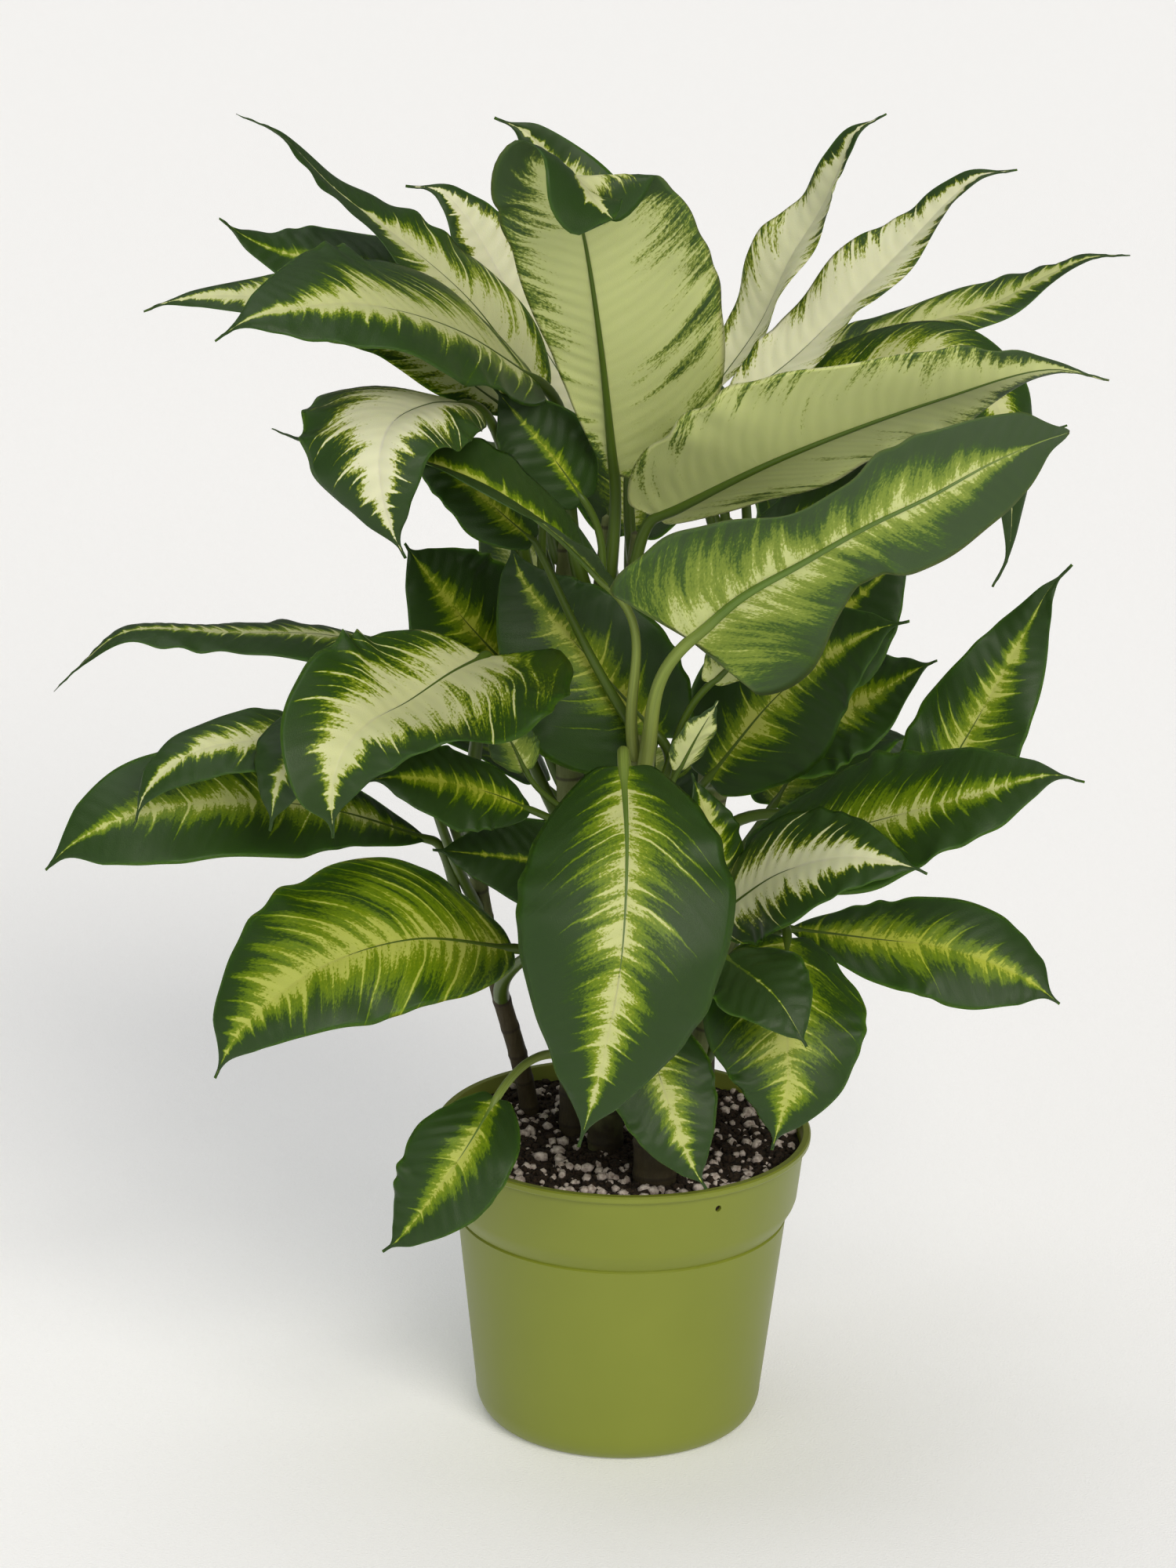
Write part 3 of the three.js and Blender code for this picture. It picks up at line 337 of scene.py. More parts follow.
    "rear_low": dict(cane="back", up=215, wide=72, face=(0, 0.5, 0.86), look=(0.5, 0.05, 0.8),
        spine=[(6, 84, 250), (8, 122, 276), (10, 156, 262), (10, 176, 226)]),
    "crown_left_shade": dict(cane="middle", up=340, wide=40, face=(0.1, -0.9, 0.3), fold=6,
        look=(0.16, 0.0, 1.0),
        spine=[(-23, -23, 436), (-37, -26, 456), (-52, -28, 474), (-62, -28, 486)]),
}

# ---- camera, lights and floor ----

CAMERA = dict(place=(-18.84, -2093.48, 976.52), target=(-18.84, 0, 300.24), roll=1.069, lens=114)
# soft lamps far away: where each one shines from, its strength and how wide it looks in degrees
LAMPS = {
    "key": dict(place=(600, -1700, 1500), power=2.1, width=36, colour="#fffaf2"),
    "fill": dict(place=(-1300, -1600, 900), power=0.5, width=60, colour="#f4f8ff"),
    "top": dict(place=(-300, 300, 1900), power=0.9, width=50, colour="#ffffff"),
}
SKY = dict(colour="#ffffff", strength=0.15)
FLOOR_SIZE = 12000
FLOOR_GLOW = 0.14  # the paper is lit from below as well, as on a light table


# ---- small helpers ----


def seeded(seed):
    """Numbers from 0 to 1, the same ones that shaped the solids."""
    step, shift, span = 1664525, 1013904223, 2 ** 32
    while True:
        seed = (seed * step + shift) % span
        yield seed / span


def linear(colour):
    """An sRGB hex value as linear RGBA."""
    parts = [int(colour[i:i + 2], 16) / 255 for i in (1, 3, 5)]
    return (*[p / 12.92 if p <= 0.04045 else ((p + 0.055) / 1.055) ** 2.4 for p in parts], 1)


def unit(rows):
    return rows / np.linalg.norm(rows, axis=-1, keepdims=True)


def smooth(value, low, high):
    share = np.clip((value - low) / (high - low), 0, 1)
    return share * share * (3 - 2 * share)


def mix(a, b, share):
    return a + (b - a) * share


def new_shape():
    """An empty shape with the two UV maps of a leaf or a cane."""
    shape = bmesh.new()
    return shape, [shape.loops.layers.uv.new(name) for name in ("blade", "veins")]


def place_in_scene(name, data):
    made = bpy.data.objects.new(name, data)
    bpy.context.scene.collection.objects.link(made)
    return made


def shape_in_scene(name, shape, materials=()):
    mesh = bpy.data.meshes.new(name)
    shape.to_mesh(mesh)
    shape.free()
    for material in materials:
        mesh.materials.append(material)
    return place_in_scene(name, mesh)


def finish_piece(name, shape, materials, nodes):
    """Turns a shape in millimetres into a piece that stands for the named nodes."""
    bmesh.ops.transform(shape, matrix=Matrix.Scale(MM, 4), verts=shape.verts)
    piece = shape_in_scene(name, shape, materials)
    piece.data.shade_smooth()
    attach(piece, "root")
    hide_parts(*nodes)
    return piece


def set_numbers(piece, **numbers):
    """Writes numbers that a piece's materials read."""
    for name, value in numbers.items():
        attribute = piece.data.attributes.new(name, "FLOAT", "POINT")
        attribute.data.foreach_set("value", np.full(len(piece.data.vertices), value, np.float32))


class Route:
    """A smooth curve through points, read by its share of the length."""

    STEPS = 60
    NEAR = 0.01

    def __init__(self, points):
        p = np.array(points, float)
        p = np.vstack([2 * p[0] - p[1], p, 2 * p[-1] - p[-2]])
        gaps = np.sqrt(np.linalg.norm(np.diff(p, axis=0), axis=1))
        t = np.linspace(0, 1, self.STEPS, endpoint=False)[:, None]
        parts = []
        for i in range(1, len(p) - 2):
            d0, d1, d2 = gaps[i - 1:i + 2]
            a, b, c, d = p[i - 1:i + 3]
            m1 = ((b - a) / d0 - (c - a) / (d0 + d1) + (c - b) / d1) * d1
            m2 = ((c - b) / d1 - (d - b) / (d1 + d2) + (d - c) / d2) * d1
            parts.append(b + m1 * t + (3 * (c - b) - 2 * m1 - m2) * t ** 2
                + (2 * (b - c) + m1 + m2) * t ** 3)
        self.line = np.vstack([*parts, p[-2:-1]])
        steps = np.linalg.norm(np.diff(self.line, axis=0), axis=1)
        self.run = np.concatenate([[0], np.cumsum(steps)])
        self.length = self.run[-1]

    def at(self, shares):
        run = np.atleast_1d(shares) * self.length
        return np.stack([np.interp(run, self.run, self.line[:, k]) for k in range(3)], axis=1)

    def along(self, shares):
        shares = np.atleast_1d(shares)
        low, high = np.clip(shares - self.NEAR, 0, 1), np.clip(shares + self.NEAR, 0, 1)
        return unit(self.at(high) - self.at(low))


def bezier(a, b, c, d, count):
    t = np.linspace(0, 1, count)[:, None]
    return a * (1 - t) ** 3 + 3 * b * t * (1 - t) ** 2 + 3 * c * t * t * (1 - t) + d * t ** 3


def carried_frames(line, up):
    """A side and an up for each point of a line, with the last point's up carried back."""
    along = unit(np.gradient(line, axis=0))
    ups = np.empty_like(line)
    for i in range(len(line) - 1, -1, -1):
        up = up - along[i] * up.dot(along[i])
        up = up / np.linalg.norm(up)
        ups[i] = up
    return np.cross(along, ups), ups


# ---- sheets and tubes ----


def sheet(shape, places, marks, layers, material, flip=False):
    """Lays a grid over places[row][column]; marks holds the two pairs of UV numbers."""
    rows, columns = places.shape[:2]
    made = bmesh.ops.create_grid(shape, x_segments=columns - 1, y_segments=rows - 1, size=1)
    cells = {}
    for vert in made["verts"]:
        column = round((vert.co.x + 1) / 2 * (columns - 1))
        row = round((vert.co.y + 1) / 2 * (rows - 1))
        cells[vert] = (row, column)
    faces = list({face for vert in made["verts"] for face in vert.link_faces})
    for face in faces:
        face.material_index = material
        for loop in face.loops:
            row, column = cells[loop.vert]
            for layer, mark in zip(layers, marks):
                loop[layer].uv = mark[row, column]
    for vert, (row, column) in cells.items():
        vert.co = places[row, column]
    if flip:
        bmesh.ops.reverse_faces(shape, faces=faces)
    return made["verts"]


def tube(shape, line, side, up, radius, layers, material, sides):
    """A round tube along a line that closes to a point at both ends."""
    turn = np.linspace(0, 2 * np.pi, sides + 1)
    radius = radius.copy()
    radius[[0, -1]] = 0
    ring = side[:, None] * np.cos(turn)[None, :, None] + up[:, None] * np.sin(turn)[None, :, None]
    places = line[:, None] + ring * radius[:, None, None]
    run = np.concatenate([[0], np.cumsum(np.linalg.norm(np.diff(line, axis=0), axis=1))])
    shares = np.linspace(0, 1, len(line))
    marks = (
        np.stack(np.broadcast_arrays(turn[None, :] / (2 * np.pi), shares[:, None]), axis=-1),
        np.stack(np.broadcast_arrays(run[:, None] / CM, np.cos(turn)[None, :]), axis=-1),
    )
    verts = sheet(shape, places, marks, layers, material)
    bmesh.ops.remove_doubles(shape, verts=verts, dist=WELD)


def turned(profile):
    """A closed form turned about the Z axis from radii and heights, its normals outward."""
    shape = bmesh.new()
    verts = [shape.verts.new((radius, 0, height)) for radius, height in profile]
    edges = [shape.edges.new(pair) for pair in zip(verts, verts[1:])]
    bmesh.ops.spin(shape, geom=[*verts, *edges], cent=(0, 0, 0), axis=(0, 0, 1),
        angle=2 * math.pi, steps=SPIN_STEPS, use_merge=True)
    bmesh.ops.remove_doubles(shape, verts=shape.verts, dist=WELD)
    bmesh.ops.recalc_face_normals(shape, faces=shape.faces)
    return shape


# ---- leaves ----


def half_width(leaf, s, peak):
    """Half the blade's width at shares of its length, widest at the share called peak."""
    rise = (s / peak) ** (leaf["point"] * peak)
    fall = ((1 - s) / (1 - peak)) ** (leaf["point"] * (1 - peak))
    tail = 1 - leaf["tail"] * smooth(s, TAIL_START, 1)
    tail = tail * (1 - leaf["thread"] * smooth(s, *THREAD))
    waist = 1 - leaf["waist"] * np.exp(-((s - WAIST[0]) / WAIST[1]) ** 2)
    least = TIP_HALF[0] * smooth(s, 0, TIP_HALF[1])
    return np.maximum(leaf["wide"] / 2 * rise * fall * tail * waist, least)


def blade_frame(leaf, midrib, s):
    """Along, up and side at shares of the midrib, the face turning toward that of the tip."""
    along = midrib.along(s)
    face = np.array(leaf["face"], float)
    tip = np.array(leaf.get("tip_face", leaf["face"]), float)
    share = np.clip((s - leaf["twist"]) / (1 - leaf["twist"]), 0, 1)
    turned_face = mix(face, tip, share[:, None])
    up = unit(turned_face - along * np.sum(turned_face * along, axis=1, keepdims=True))
    return along, up, np.cross(along, up)


def blade_places(leaf, midrib, s, u, phase):
    """The blade's middle surface, and how far each place is across and along it."""
    along, up, side = blade_frame(leaf, midrib, s)
    left = half_width(leaf, s, leaf["peak"])[:, None]
    right = half_width(leaf, s, leaf.get("right_peak", leaf["peak"]))[:, None]
    s, u = s[:, None], u[None, :]
    half = np.where(u < 0, left, right)
    lobe = np.where(u < 0, leaf["lobe"], leaf.get("right_lobe", leaf["lobe"]))
    wide = leaf["wide"]
    back = lobe * wide * np.maximum(0, 1 - s / LOBE_END) ** 2
    back = back * smooth(half / wide * 2, 0, LOBE_ROUND)

    # sign keeps the waves of the two halves apart, and phase those of one leaf and the next
    sign = np.sign(u)
    uneven, swings = FRILL_DRIFT
    drift = uneven * np.sin(2 * np.pi * (swings * s + phase + 0.3 * sign))
    frill = 2 * np.pi * (FRILLS * (s + drift) + 3 * phase) + 2 * sign
    mean, change, swings = FRILL_SWELL
    swell = mean + change * np.sin(2 * np.pi * (swings * s + 5 * phase + 0.2 * sign))
    across = u * half * (1 + leaf["lean"] * sign) * (1 + NOTCH * swell * np.sin(frill + 1))
    vein = s * midrib.length - VEIN_RAKE * np.abs(across) - VEIN_CURVE * across ** 2 / (wide / 2)

    lift = half * math.sin(math.radians(leaf["fold"]))
    swing = np.sin(np.pi * s) * leaf["wave"]
    rise = np.abs(u) * lift - leaf["droop"] / 100 * half * u * u
    rise = rise + swing * u * u * np.sin(2 * np.pi * (WAVES * s + phase) + u)
    frilled = swell * np.sin(np.pi * s) * smooth(np.abs(u), FRILL_START, 1)
    rise = rise + FRILL_RISE * wide / FULL_WIDE * frilled * np.sin(frill)
    quilt = smooth(np.abs(u), *QUILT_IN) * (1 - smooth(np.abs(u), *QUILT_OUT))
    rise = rise + VEIN_RISE * quilt * np.cos(2 * np.pi * vein / VEIN_STEP)
    places = midrib.at(s[:, 0])[:, None] + side[:, None] * across[..., None]
    places = places + up[:, None] * rise[..., None] - along[:, None] * (back * u * u)[..., None]
    return places, across, vein


def surface_normals(places):
    rows, columns = np.gradient(places, axis=0), np.gradient(places, axis=1)
    normals = np.cross(columns, rows)
    length = np.linalg.norm(normals, axis=-1, keepdims=True)
    return normals / np.maximum(length, 1e-9)


def add_blade(shape, leaf, midrib, layers, phase):
    s = np.linspace(0, 1, BLADE_ROWS + 1) ** ROW_CROWDING
    t = np.linspace(-1, 1, BLADE_COLUMNS + 1)
    u = np.sign(t) * np.abs(t) ** COLUMN_CROWDING
    places, across, vein = blade_places(leaf, midrib, s, u, phase)
    sharp, end = BLADE_EDGE
    ends = np.minimum(smooth(s, 0, end), smooth(1 - s, 0, end))
    edge = np.minimum(1 - np.abs(t[None, :]) ** sharp, ends[:, None])[..., None]
    marks = (
        np.stack(np.broadcast_arrays(u[None, :] / 2 + 0.5, s[:, None]), axis=-1),
        np.stack([vein / CM + LEAF_APART[0] * phase, across / CM], axis=-1),
    )
    thick = surface_normals(places) * edge * BLADE_THICK / 2
    top = sheet(shape, places + thick, marks, layers, 0)
    under = sheet(shape, places - thick, marks, layers, 1, flip=True)
    rim = [v for v in [*top, *under] if v.is_boundary]
    bmesh.ops.remove_doubles(shape, verts=rim, dist=WELD)


def on_cane(cane, height):
    shares = np.linspace(0, 1, CANE_READINGS)
    share = np.interp(height, cane.at(shares)[:, 2], shares)
    return cane.at(share)[0], cane.along(share)[0]


def add_stalk(shape, leaf, cane, midrib, layers):
    """The stalk from its cane to the blade, and on under the blade as its midrib."""
    zero = np.array([0.0])
    along, up, _ = (rows[0] for rows in blade_frame(leaf, midrib, zero))
    root, cane_along = on_cane(cane, leaf["up"])
    end = midrib.at(zero)[0]
    length = np.linalg.norm(end - root)
    out = unit((end - root) * (1, 1, 0))
    climb = root + cane_along * STALK["rise"] * length + out * STALK["out"] * length
    approach = end - along * leaf["bend"] * length
    thick = math.sqrt(leaf["wide"] / FULL_WIDE)
    count = STALK["rings"]
    stalk = bezier(root, climb, approach, end, count)
    stalk_radius = thick * (STALK["radius"] + STALK["foot"] * np.linspace(1, 0, count) ** 2)
    side, ups = carried_frames(stalk, up)

    s = np.linspace(0, RIB["end"], RIB["rings"] + 1)[1:]
    _, rib_up, rib_side = blade_frame(leaf, midrib, s)
    neck, neck_power = RIB["neck"]
    rib_radius = thick * STALK["radius"] * mix(RIB["tip"], 1, (1 - s) ** RIB["taper"])
    rib_radius = rib_radius * mix(neck, 1, (1 - s) ** neck_power)
    sink = RIB["sink"] * smooth(s, 0, RIB["sunk"]) * rib_radius
    rib = midrib.at(s) - rib_up * sink[:, None]
    tube(shape, np.vstack([stalk, rib]), np.vstack([side, rib_side]), np.vstack([ups, rib_up]),
        np.concatenate([stalk_radius, rib_radius]), layers, 2, STALK["sides"])


def make_leaf(name, leaf, cane, phase, skins):
    shape, layers = new_shape()
    midrib = Route(leaf["spine"])
    add_blade(shape, leaf, midrib, layers, phase)
    add_stalk(shape, leaf, cane, midrib, layers)
    piece = finish_piece(f"leaf.{name}", shape, skins, [f"leaf_{name}"])
    spread, core, age = leaf["look"]
    set_numbers(piece, spread=spread, core=core, age=age, draw=phase, fade=leaf["fade"],
        stem=leaf["stem"])


# ---- canes ----


def cane_route(form):
    x, y, _ = form["route"][0]
    return Route([(x, y, SOIL_TOP - CANE_DEPTH), *form["route"]])


def make_cane(name, form, cane, bark):
    shape, layers = new_shape()
    s = np.linspace(0, 1, int(cane.length / CANE_STEP) + 1)
    line = cane.at(s)
    shoot = np.clip((s - CANE_SHOOT) / (1 - CANE_SHOOT), 0, 1)
    radius = mix(form["foot"], form["top"], s) * mix(1, CANE_TIP, shoot)
    scar = np.abs((s * cane.length / NODE_STEP) % 1 - 0.5) * NODE_STEP
    radius = radius * (1 + NODE_RISE * np.exp(-(scar / NODE_HALF) ** 2) - NODE_RISE / 2)
    side, up = carried_frames(line, np.array([0.0, 1.0, 0.0]))
    tube(shape, line, side, up, radius, layers, 0, CANE_SIDES)
    piece = finish_piece(f"cane.{name}", shape, [bark], [f"cane_{name}"])
    set_numbers(piece, bark=form["bark"] * MM)


# ---- pot ----


def collar(height, inset):
    """The collar's outer radius at a height, less an inset."""
    share = (height - COLLAR_LOW[1]) / (POT_HEIGHT - COLLAR_LOW[1])
    return mix(COLLAR_LOW[0], RIM_RADIUS - LIP_OUT, share) - inset


def pot_wall(inset, floor):
    """From the middle of the floor up to the collar's foot; only the outside has the groove."""
    turn = np.linspace(0, np.pi / 2, FOOT_STEPS + 1)
    corner = [(FOOT_RADIUS + (BODY_LOW[0] - FOOT_RADIUS - inset) * math.sin(a),
        BODY_LOW[1] - (BODY_LOW[1] - floor) * math.cos(a)) for a in turn]
    low, low_height = BODY_TOP[0] - inset, BODY_TOP[1]
    high, high_height = COLLAR_LOW[0] - inset, COLLAR_LOW[1]
    depth, half = (0 if inset else CREASE[0]), CREASE[1]
    return [(0, floor), *corner, (low, low_height - half), (low - depth, low_height),
        (low + STEP_LOW[0], low_height + STEP_LOW[1]),
        (high + STEP_HIGH[0], high_height + STEP_HIGH[1]), (high, high_height)]


def pot_profile():
    """Outside from the floor's middle up to the lip, then down the inside: radius and height."""
    foot = POT_HEIGHT - LIP_FOOT
    inner = collar(POT_HEIGHT, POT_WALL)
    lip = [(collar(foot, 0), foot), *[(RIM_RADIUS + x, POT_HEIGHT + z) for x, z in LIP_ROLL],
        (inner + LIP_INNER[0], POT_HEIGHT), (inner, POT_HEIGHT - LIP_INNER[1])]
    return [*pot_wall(0, 0), *lip, *reversed(pot_wall(POT_WALL, POT_FLOOR))]


def drill(radius, circle, turn, height, tilt=0):
    """A cutter for a round hole, set on a circle about the Z axis and tilted outward."""
    shape = bmesh.new()
    place = (circle * math.cos(turn), circle * math.sin(turn), height)
    matrix = (Matrix.Translation(place) @ Matrix.Rotation(turn, 4, "Z")
        @ Matrix.Rotation(tilt, 4, "Y"))
    bmesh.ops.create_cone(shape, cap_ends=True, segments=DRILL_SIDES, radius1=radius,
        radius2=radius, depth=DRILL_LENGTH, matrix=matrix)
    return shape


def cut(shape, cutters):
    """Cuts the cutters out of the shape with Boolean modifiers, which are applied."""
    blank, *tools = [shape_in_scene("blank", form) for form in (shape, *cutters)]
    for tool in tools:
        modifier = blank.modifiers.new("hole", "BOOLEAN")
        modifier.object = tool
        modifier.operation = "DIFFERENCE"
        modifier.solver = "EXACT"
    bpy.context.view_layer.update()
    result = bmesh.new()
    result.from_object(blank, bpy.context.evaluated_depsgraph_get())
    for used in [blank, *tools]:
        mesh = used.data
        bpy.data.objects.remove(used)
        bpy.data.meshes.remove(mesh)
    return result


def make_pot(plastic):
    cutters = [drill(DRAIN["radius"], DRAIN["circle"], math.tau * i / DRAIN["holes"], 0)
        for i in range(DRAIN["holes"])]
    cutters.append(drill(COLLAR_HOLE["radius"], COLLAR_HOLE["circle"],
        math.radians(COLLAR_HOLE["turn"]), COLLAR_HOLE["height"], math.pi / 2))
    shape = cut(turned(pot_profile()), cutters)
    piece = finish_piece("pot_shell", shape, [plastic], ["pot"])
    piece.data.set_sharp_from_angle(angle=math.radians(POT_CRISP))


# ---- soil ----


def soil_height(x, y):
    """The heaped surface of the potting mix."""
    return SOIL_TOP + sum(rise * math.sin(x / along_x + y / along_y + start)
        for rise, along_x, along_y, start in SOIL_WAVES)


def free_spot(draw, reach, canes, room, spread):
    """A spot on the soil that no cane stands on."""
    while True:
        turn = draw.uniform(0, math.tau)
        radius = reach * draw.random() ** spread
        x, y = radius * math.cos(turn), radius * math.sin(turn)
        if all(math.hypot(x - cx, y - cy) > r + room for cx, cy, r in canes):
            return x, y


def add_lump(shape, draw, size, place, material):
    """A small crooked lump, from an icosphere whose points are pushed about."""
    turn = Matrix.Rotation(draw.uniform(0, math.tau), 4, Vector((draw.random(), draw.random(), 1)))
    made = bmesh.ops.create_icosphere(shape, subdivisions=1, radius=size,
        matrix=Matrix.Translation(place) @ turn)
    stretch = Vector([draw.uniform(*span) for span in LUMP_STRETCH])
    middle = Vector(place)
    for vert in made["verts"]:
        off = (vert.co - middle) * draw.uniform(*LUMP_DENT)
        vert.co = middle + off * stretch
    for face in {face for vert in made["verts"] for face in vert.link_faces}:
        face.material_index = material


def strew(shape, draw, kind, new_size, edge, canes, material):
    """Lays lumps on the soil, a batch at a time, because an operator slows down on a full mesh."""
    lumps = []
    for _ in range(kind["count"]):
        size = new_size()
        x, y = free_spot(draw, edge - size, canes, size * kind["room"], kind["spread"])
        lumps.append((size, (x, y, soil_height(x, y) + size * kind["rise"])))
    mesh = bpy.data.meshes.new("batch")
    for start in range(0, len(lumps), LUMP_BATCH):
        batch = bmesh.new()
        for size, place in lumps[start:start + LUMP_BATCH]:
            add_lump(batch, draw, size, place, material)
        batch.to_mesh(mesh)
        batch.free()
        shape.from_mesh(mesh)
    bpy.data.meshes.remove(mesh)


def make_soil(peat, perlite):
    inset = POT_WALL + SOIL_GAP
    floor = POT_FLOOR + SOIL_GAP
    edge = collar(SOIL_TOP, inset)
    walls = [(radius - inset, height) for radius, height in (BODY_LOW, BODY_TOP, COLLAR_LOW)]
    surface = [(edge * (1 - k / SOIL_CELLS), SOIL_TOP) for k in range(SOIL_CELLS + 1)]
    shape = turned([(0, floor), (FOOT_RADIUS, floor), *walls, *surface])
    draw = random.Random(SOIL_SEED)
    for vert in shape.verts:
        if vert.co.z > SOIL_TOP - WELD:
            vert.co.z = soil_height(vert.co.x, vert.co.y) + draw.uniform(-SOIL_GRIT, SOIL_GRIT)
    canes = [(*form["route"][0][:2], form["foot"]) for form in CANES.values()]
    strew(shape, draw, CRUMBS,
        lambda: draw.uniform(*CRUMBS["size"]) * draw.uniform(*CRUMB_LEFT), edge, canes, 0)
    strew(shape, draw, GRAINS,
        lambda: mix(*GRAINS["size"], draw.random() ** GRAINS_SMALL), edge, canes, 1)
    finish_piece("potting_mix", shape, [peat, perlite], ["soil"])


# ---- materials ----


def feed(node, sockets):
    """Sets a node's sockets, by name or in order, to values or to other nodes' outputs."""
    pairs = sockets.items() if isinstance(sockets, dict) else enumerate(sockets)
    for socket, value in pairs:
        if isinstance(value, bpy.types.NodeSocket):
            node.id_data.links.new(value, node.inputs[socket])
        else:
            node.inputs[socket].default_value = value


def new_material(name, **shader_values):
    """A material, its shader, and the function that adds a node and returns its outputs."""
    material = bpy.data.materials.new(name)
    material.use_nodes = True
    nodes = material.node_tree.nodes
    shader = nodes["Principled BSDF"]
    feed(shader, {socket.replace("_", " "): value for socket, value in shader_values.items()})

    def add(kind, sockets=(), **settings):
        made = nodes.new("ShaderNode" + kind)
        for setting, value in settings.items():
            setattr(made, setting, value)
        feed(made, sockets)
        return made.outputs

    return material, shader, add


def leaf_skin(name, colours, roughness, relief, rays):
    """Waxy leaf skin. Pale tissue spreads from the midrib, runs out in tapering rays along the
    side veins, breaks up into flecks and gives way to green and then to a darker margin."""
    material, shader, add = new_material(name, IOR=1.45, Specular_IOR_Level=0.3,
        Subsurface_Weight=0.3, Subsurface_Scale=1.2 * MM, Subsurface_Radius=(0.8, 1.0, 0.3))
    blade, veins = (add("SeparateXYZ", [add("UVMap", uv_map=part)[0]])
        for part in ("blade", "veins"))
    spread, core, age, fade, draw = (add("Attribute", attribute_name=part)["Fac"]
        for part in ("spread", "core", "age", "fade", "draw"))
    own = add("Math", [draw, LEAF_APART[1]], operation="MULTIPLY")[0]

    def pattern(per_cm, stretch, detail):
        """Noise drawn out across the blade, along its side veins, and unlike any other leaf's."""
        off = add("Math", [veins[1], stretch], operation="MULTIPLY")[0]
        place = add("CombineXYZ", [veins[0], off, own])[0]
        return add("TexNoise", {"Vector": place, "Scale": per_cm, "Detail": detail,
            "Roughness": 0.6})["Fac"]

    # blots 17 mm apart, rays 8 mm and 2 mm apart, flecks of 1 mm, and a length for each ray
    blots = pattern(0.6, 0.5, 2)
    broad_rays = pattern(1.3, 0.16, 1)
    fine_rays = pattern(5, 0.12, 3)
    flecks = pattern(11, 0.7, 3)
    lengths = pattern(1.2, 0.05, 0)

    # how far a place lies from the midrib, against how far the pale centre reaches there, which
    # narrows to almost nothing at the share of the length called fade
    off_middle = add("Math", [blade[0], 0.5], operation="SUBTRACT")[0]
    off_middle = add("Math", [off_middle], operation="ABSOLUTE")[0]
    off_middle = add("Math", [off_middle, 2], operation="MULTIPLY")[0]
    tip = add("Math", [blade[1], fade], operation="DIVIDE")[0]
    tip = add("Math", [tip, 3.2], operation="POWER")[0]
    left = add("Math", [1.02, tip], operation="SUBTRACT")[0]
    left = add("Math", [left, 0.04], operation="MAXIMUM")[0]
    reach = add("Math", [spread, left], operation="MULTIPLY")[0]
    place = add("Math", [off_middle, reach], operation="DIVIDE")[0]
    for noise, amount in ((blots, 1.5), (broad_rays, 1.5), (fine_rays, 1.4), (flecks, 1.3)):
        noise = add("Math", [noise, 0.5], operation="SUBTRACT")[0]
        place = add("Math", [noise, amount, place], operation="MULTIPLY_ADD")[0]

    # rays of uneven length along the side veins, put out of step by the blots, that narrow as
    # they run out
    shift = add("Math", [blots, 9], operation="MULTIPLY")[0]
    turn = add("Math", [veins[0], math.tau * CM / VEIN_STEP, shift], operation="MULTIPLY_ADD")[0]
    vein = add("Math", [turn], operation="COSINE")[0]
    ridge = add("Math", [vein, 0], operation="MAXIMUM")[0]
    ridge = add("Math", [ridge, 7], operation="POWER")[0]
    length = add("MapRange", {"Value": lengths, "From Min": 0.4, "From Max": 0.62,
        "To Min": rays / 6, "To Max": rays})[0]
    ray = add("Math", [ridge, length], operation="MULTIPLY")[0]
    place = add("Math", [place, ray], operation="SUBTRACT")[0]

    # from the margin in to the midrib; the tissue between two side veins is a little deeper
    tone = {part: linear(colour) for part, colour in colours.items()}
    yellow, cream = (add("Mix", {0: age, 6: tone[part], 7: tone[f"old_{part}"]},
        data_type="RGBA")[2] for part in ("yellow", "cream"))
    yellow_end, cream_end = (add("Math", [core, past], operation="ADD")[0] for past in (0.6, 0.3))
    colour = tone["margin"]
    for low, high, over in ((0.95, 1.6, tone["green"]), (0.6, 1.15, tone["bright"]),
            (core, yellow_end, yellow), (core, cream_end, cream)):
        share = add("MapRange", {"Value": place, "From Min": low, "From Max": high,
            "To Min": 1.0, "To Max": 0.0}, interpolation_type="SMOOTHSTEP")[0]
        colour = add("Mix", {0: share, 6: colour, 7: over}, data_type="RGBA")[2]
    deeper = add("Math", [vein, -0.03, 0.03], operation="MULTIPLY_ADD")[0]
    colour = add("Mix", {0: deeper, 6: colour, 7: tone["green"]}, data_type="RGBA")[2]

    height = pattern(26, 1, 2)
    for rise, amount in ((fine_rays, 0.6), (broad_rays, relief)):
        height = add("Math", [rise, amount, height], operation="MULTIPLY_ADD")[0]
    bump = add("Bump", {"Height": height, "Strength": 0.35, "Distance": 0.4 * MM})[0]
    gloss = add("MapRange", {"Value": broad_rays, "From Min": 0.3, "From Max": 0.7,
        "To Min": roughness - 0.05, "To Max": roughness + 0.07})[0]
    feed(shader, {"Base Color": colour, "Normal": bump, "Roughness": gloss})
    return material


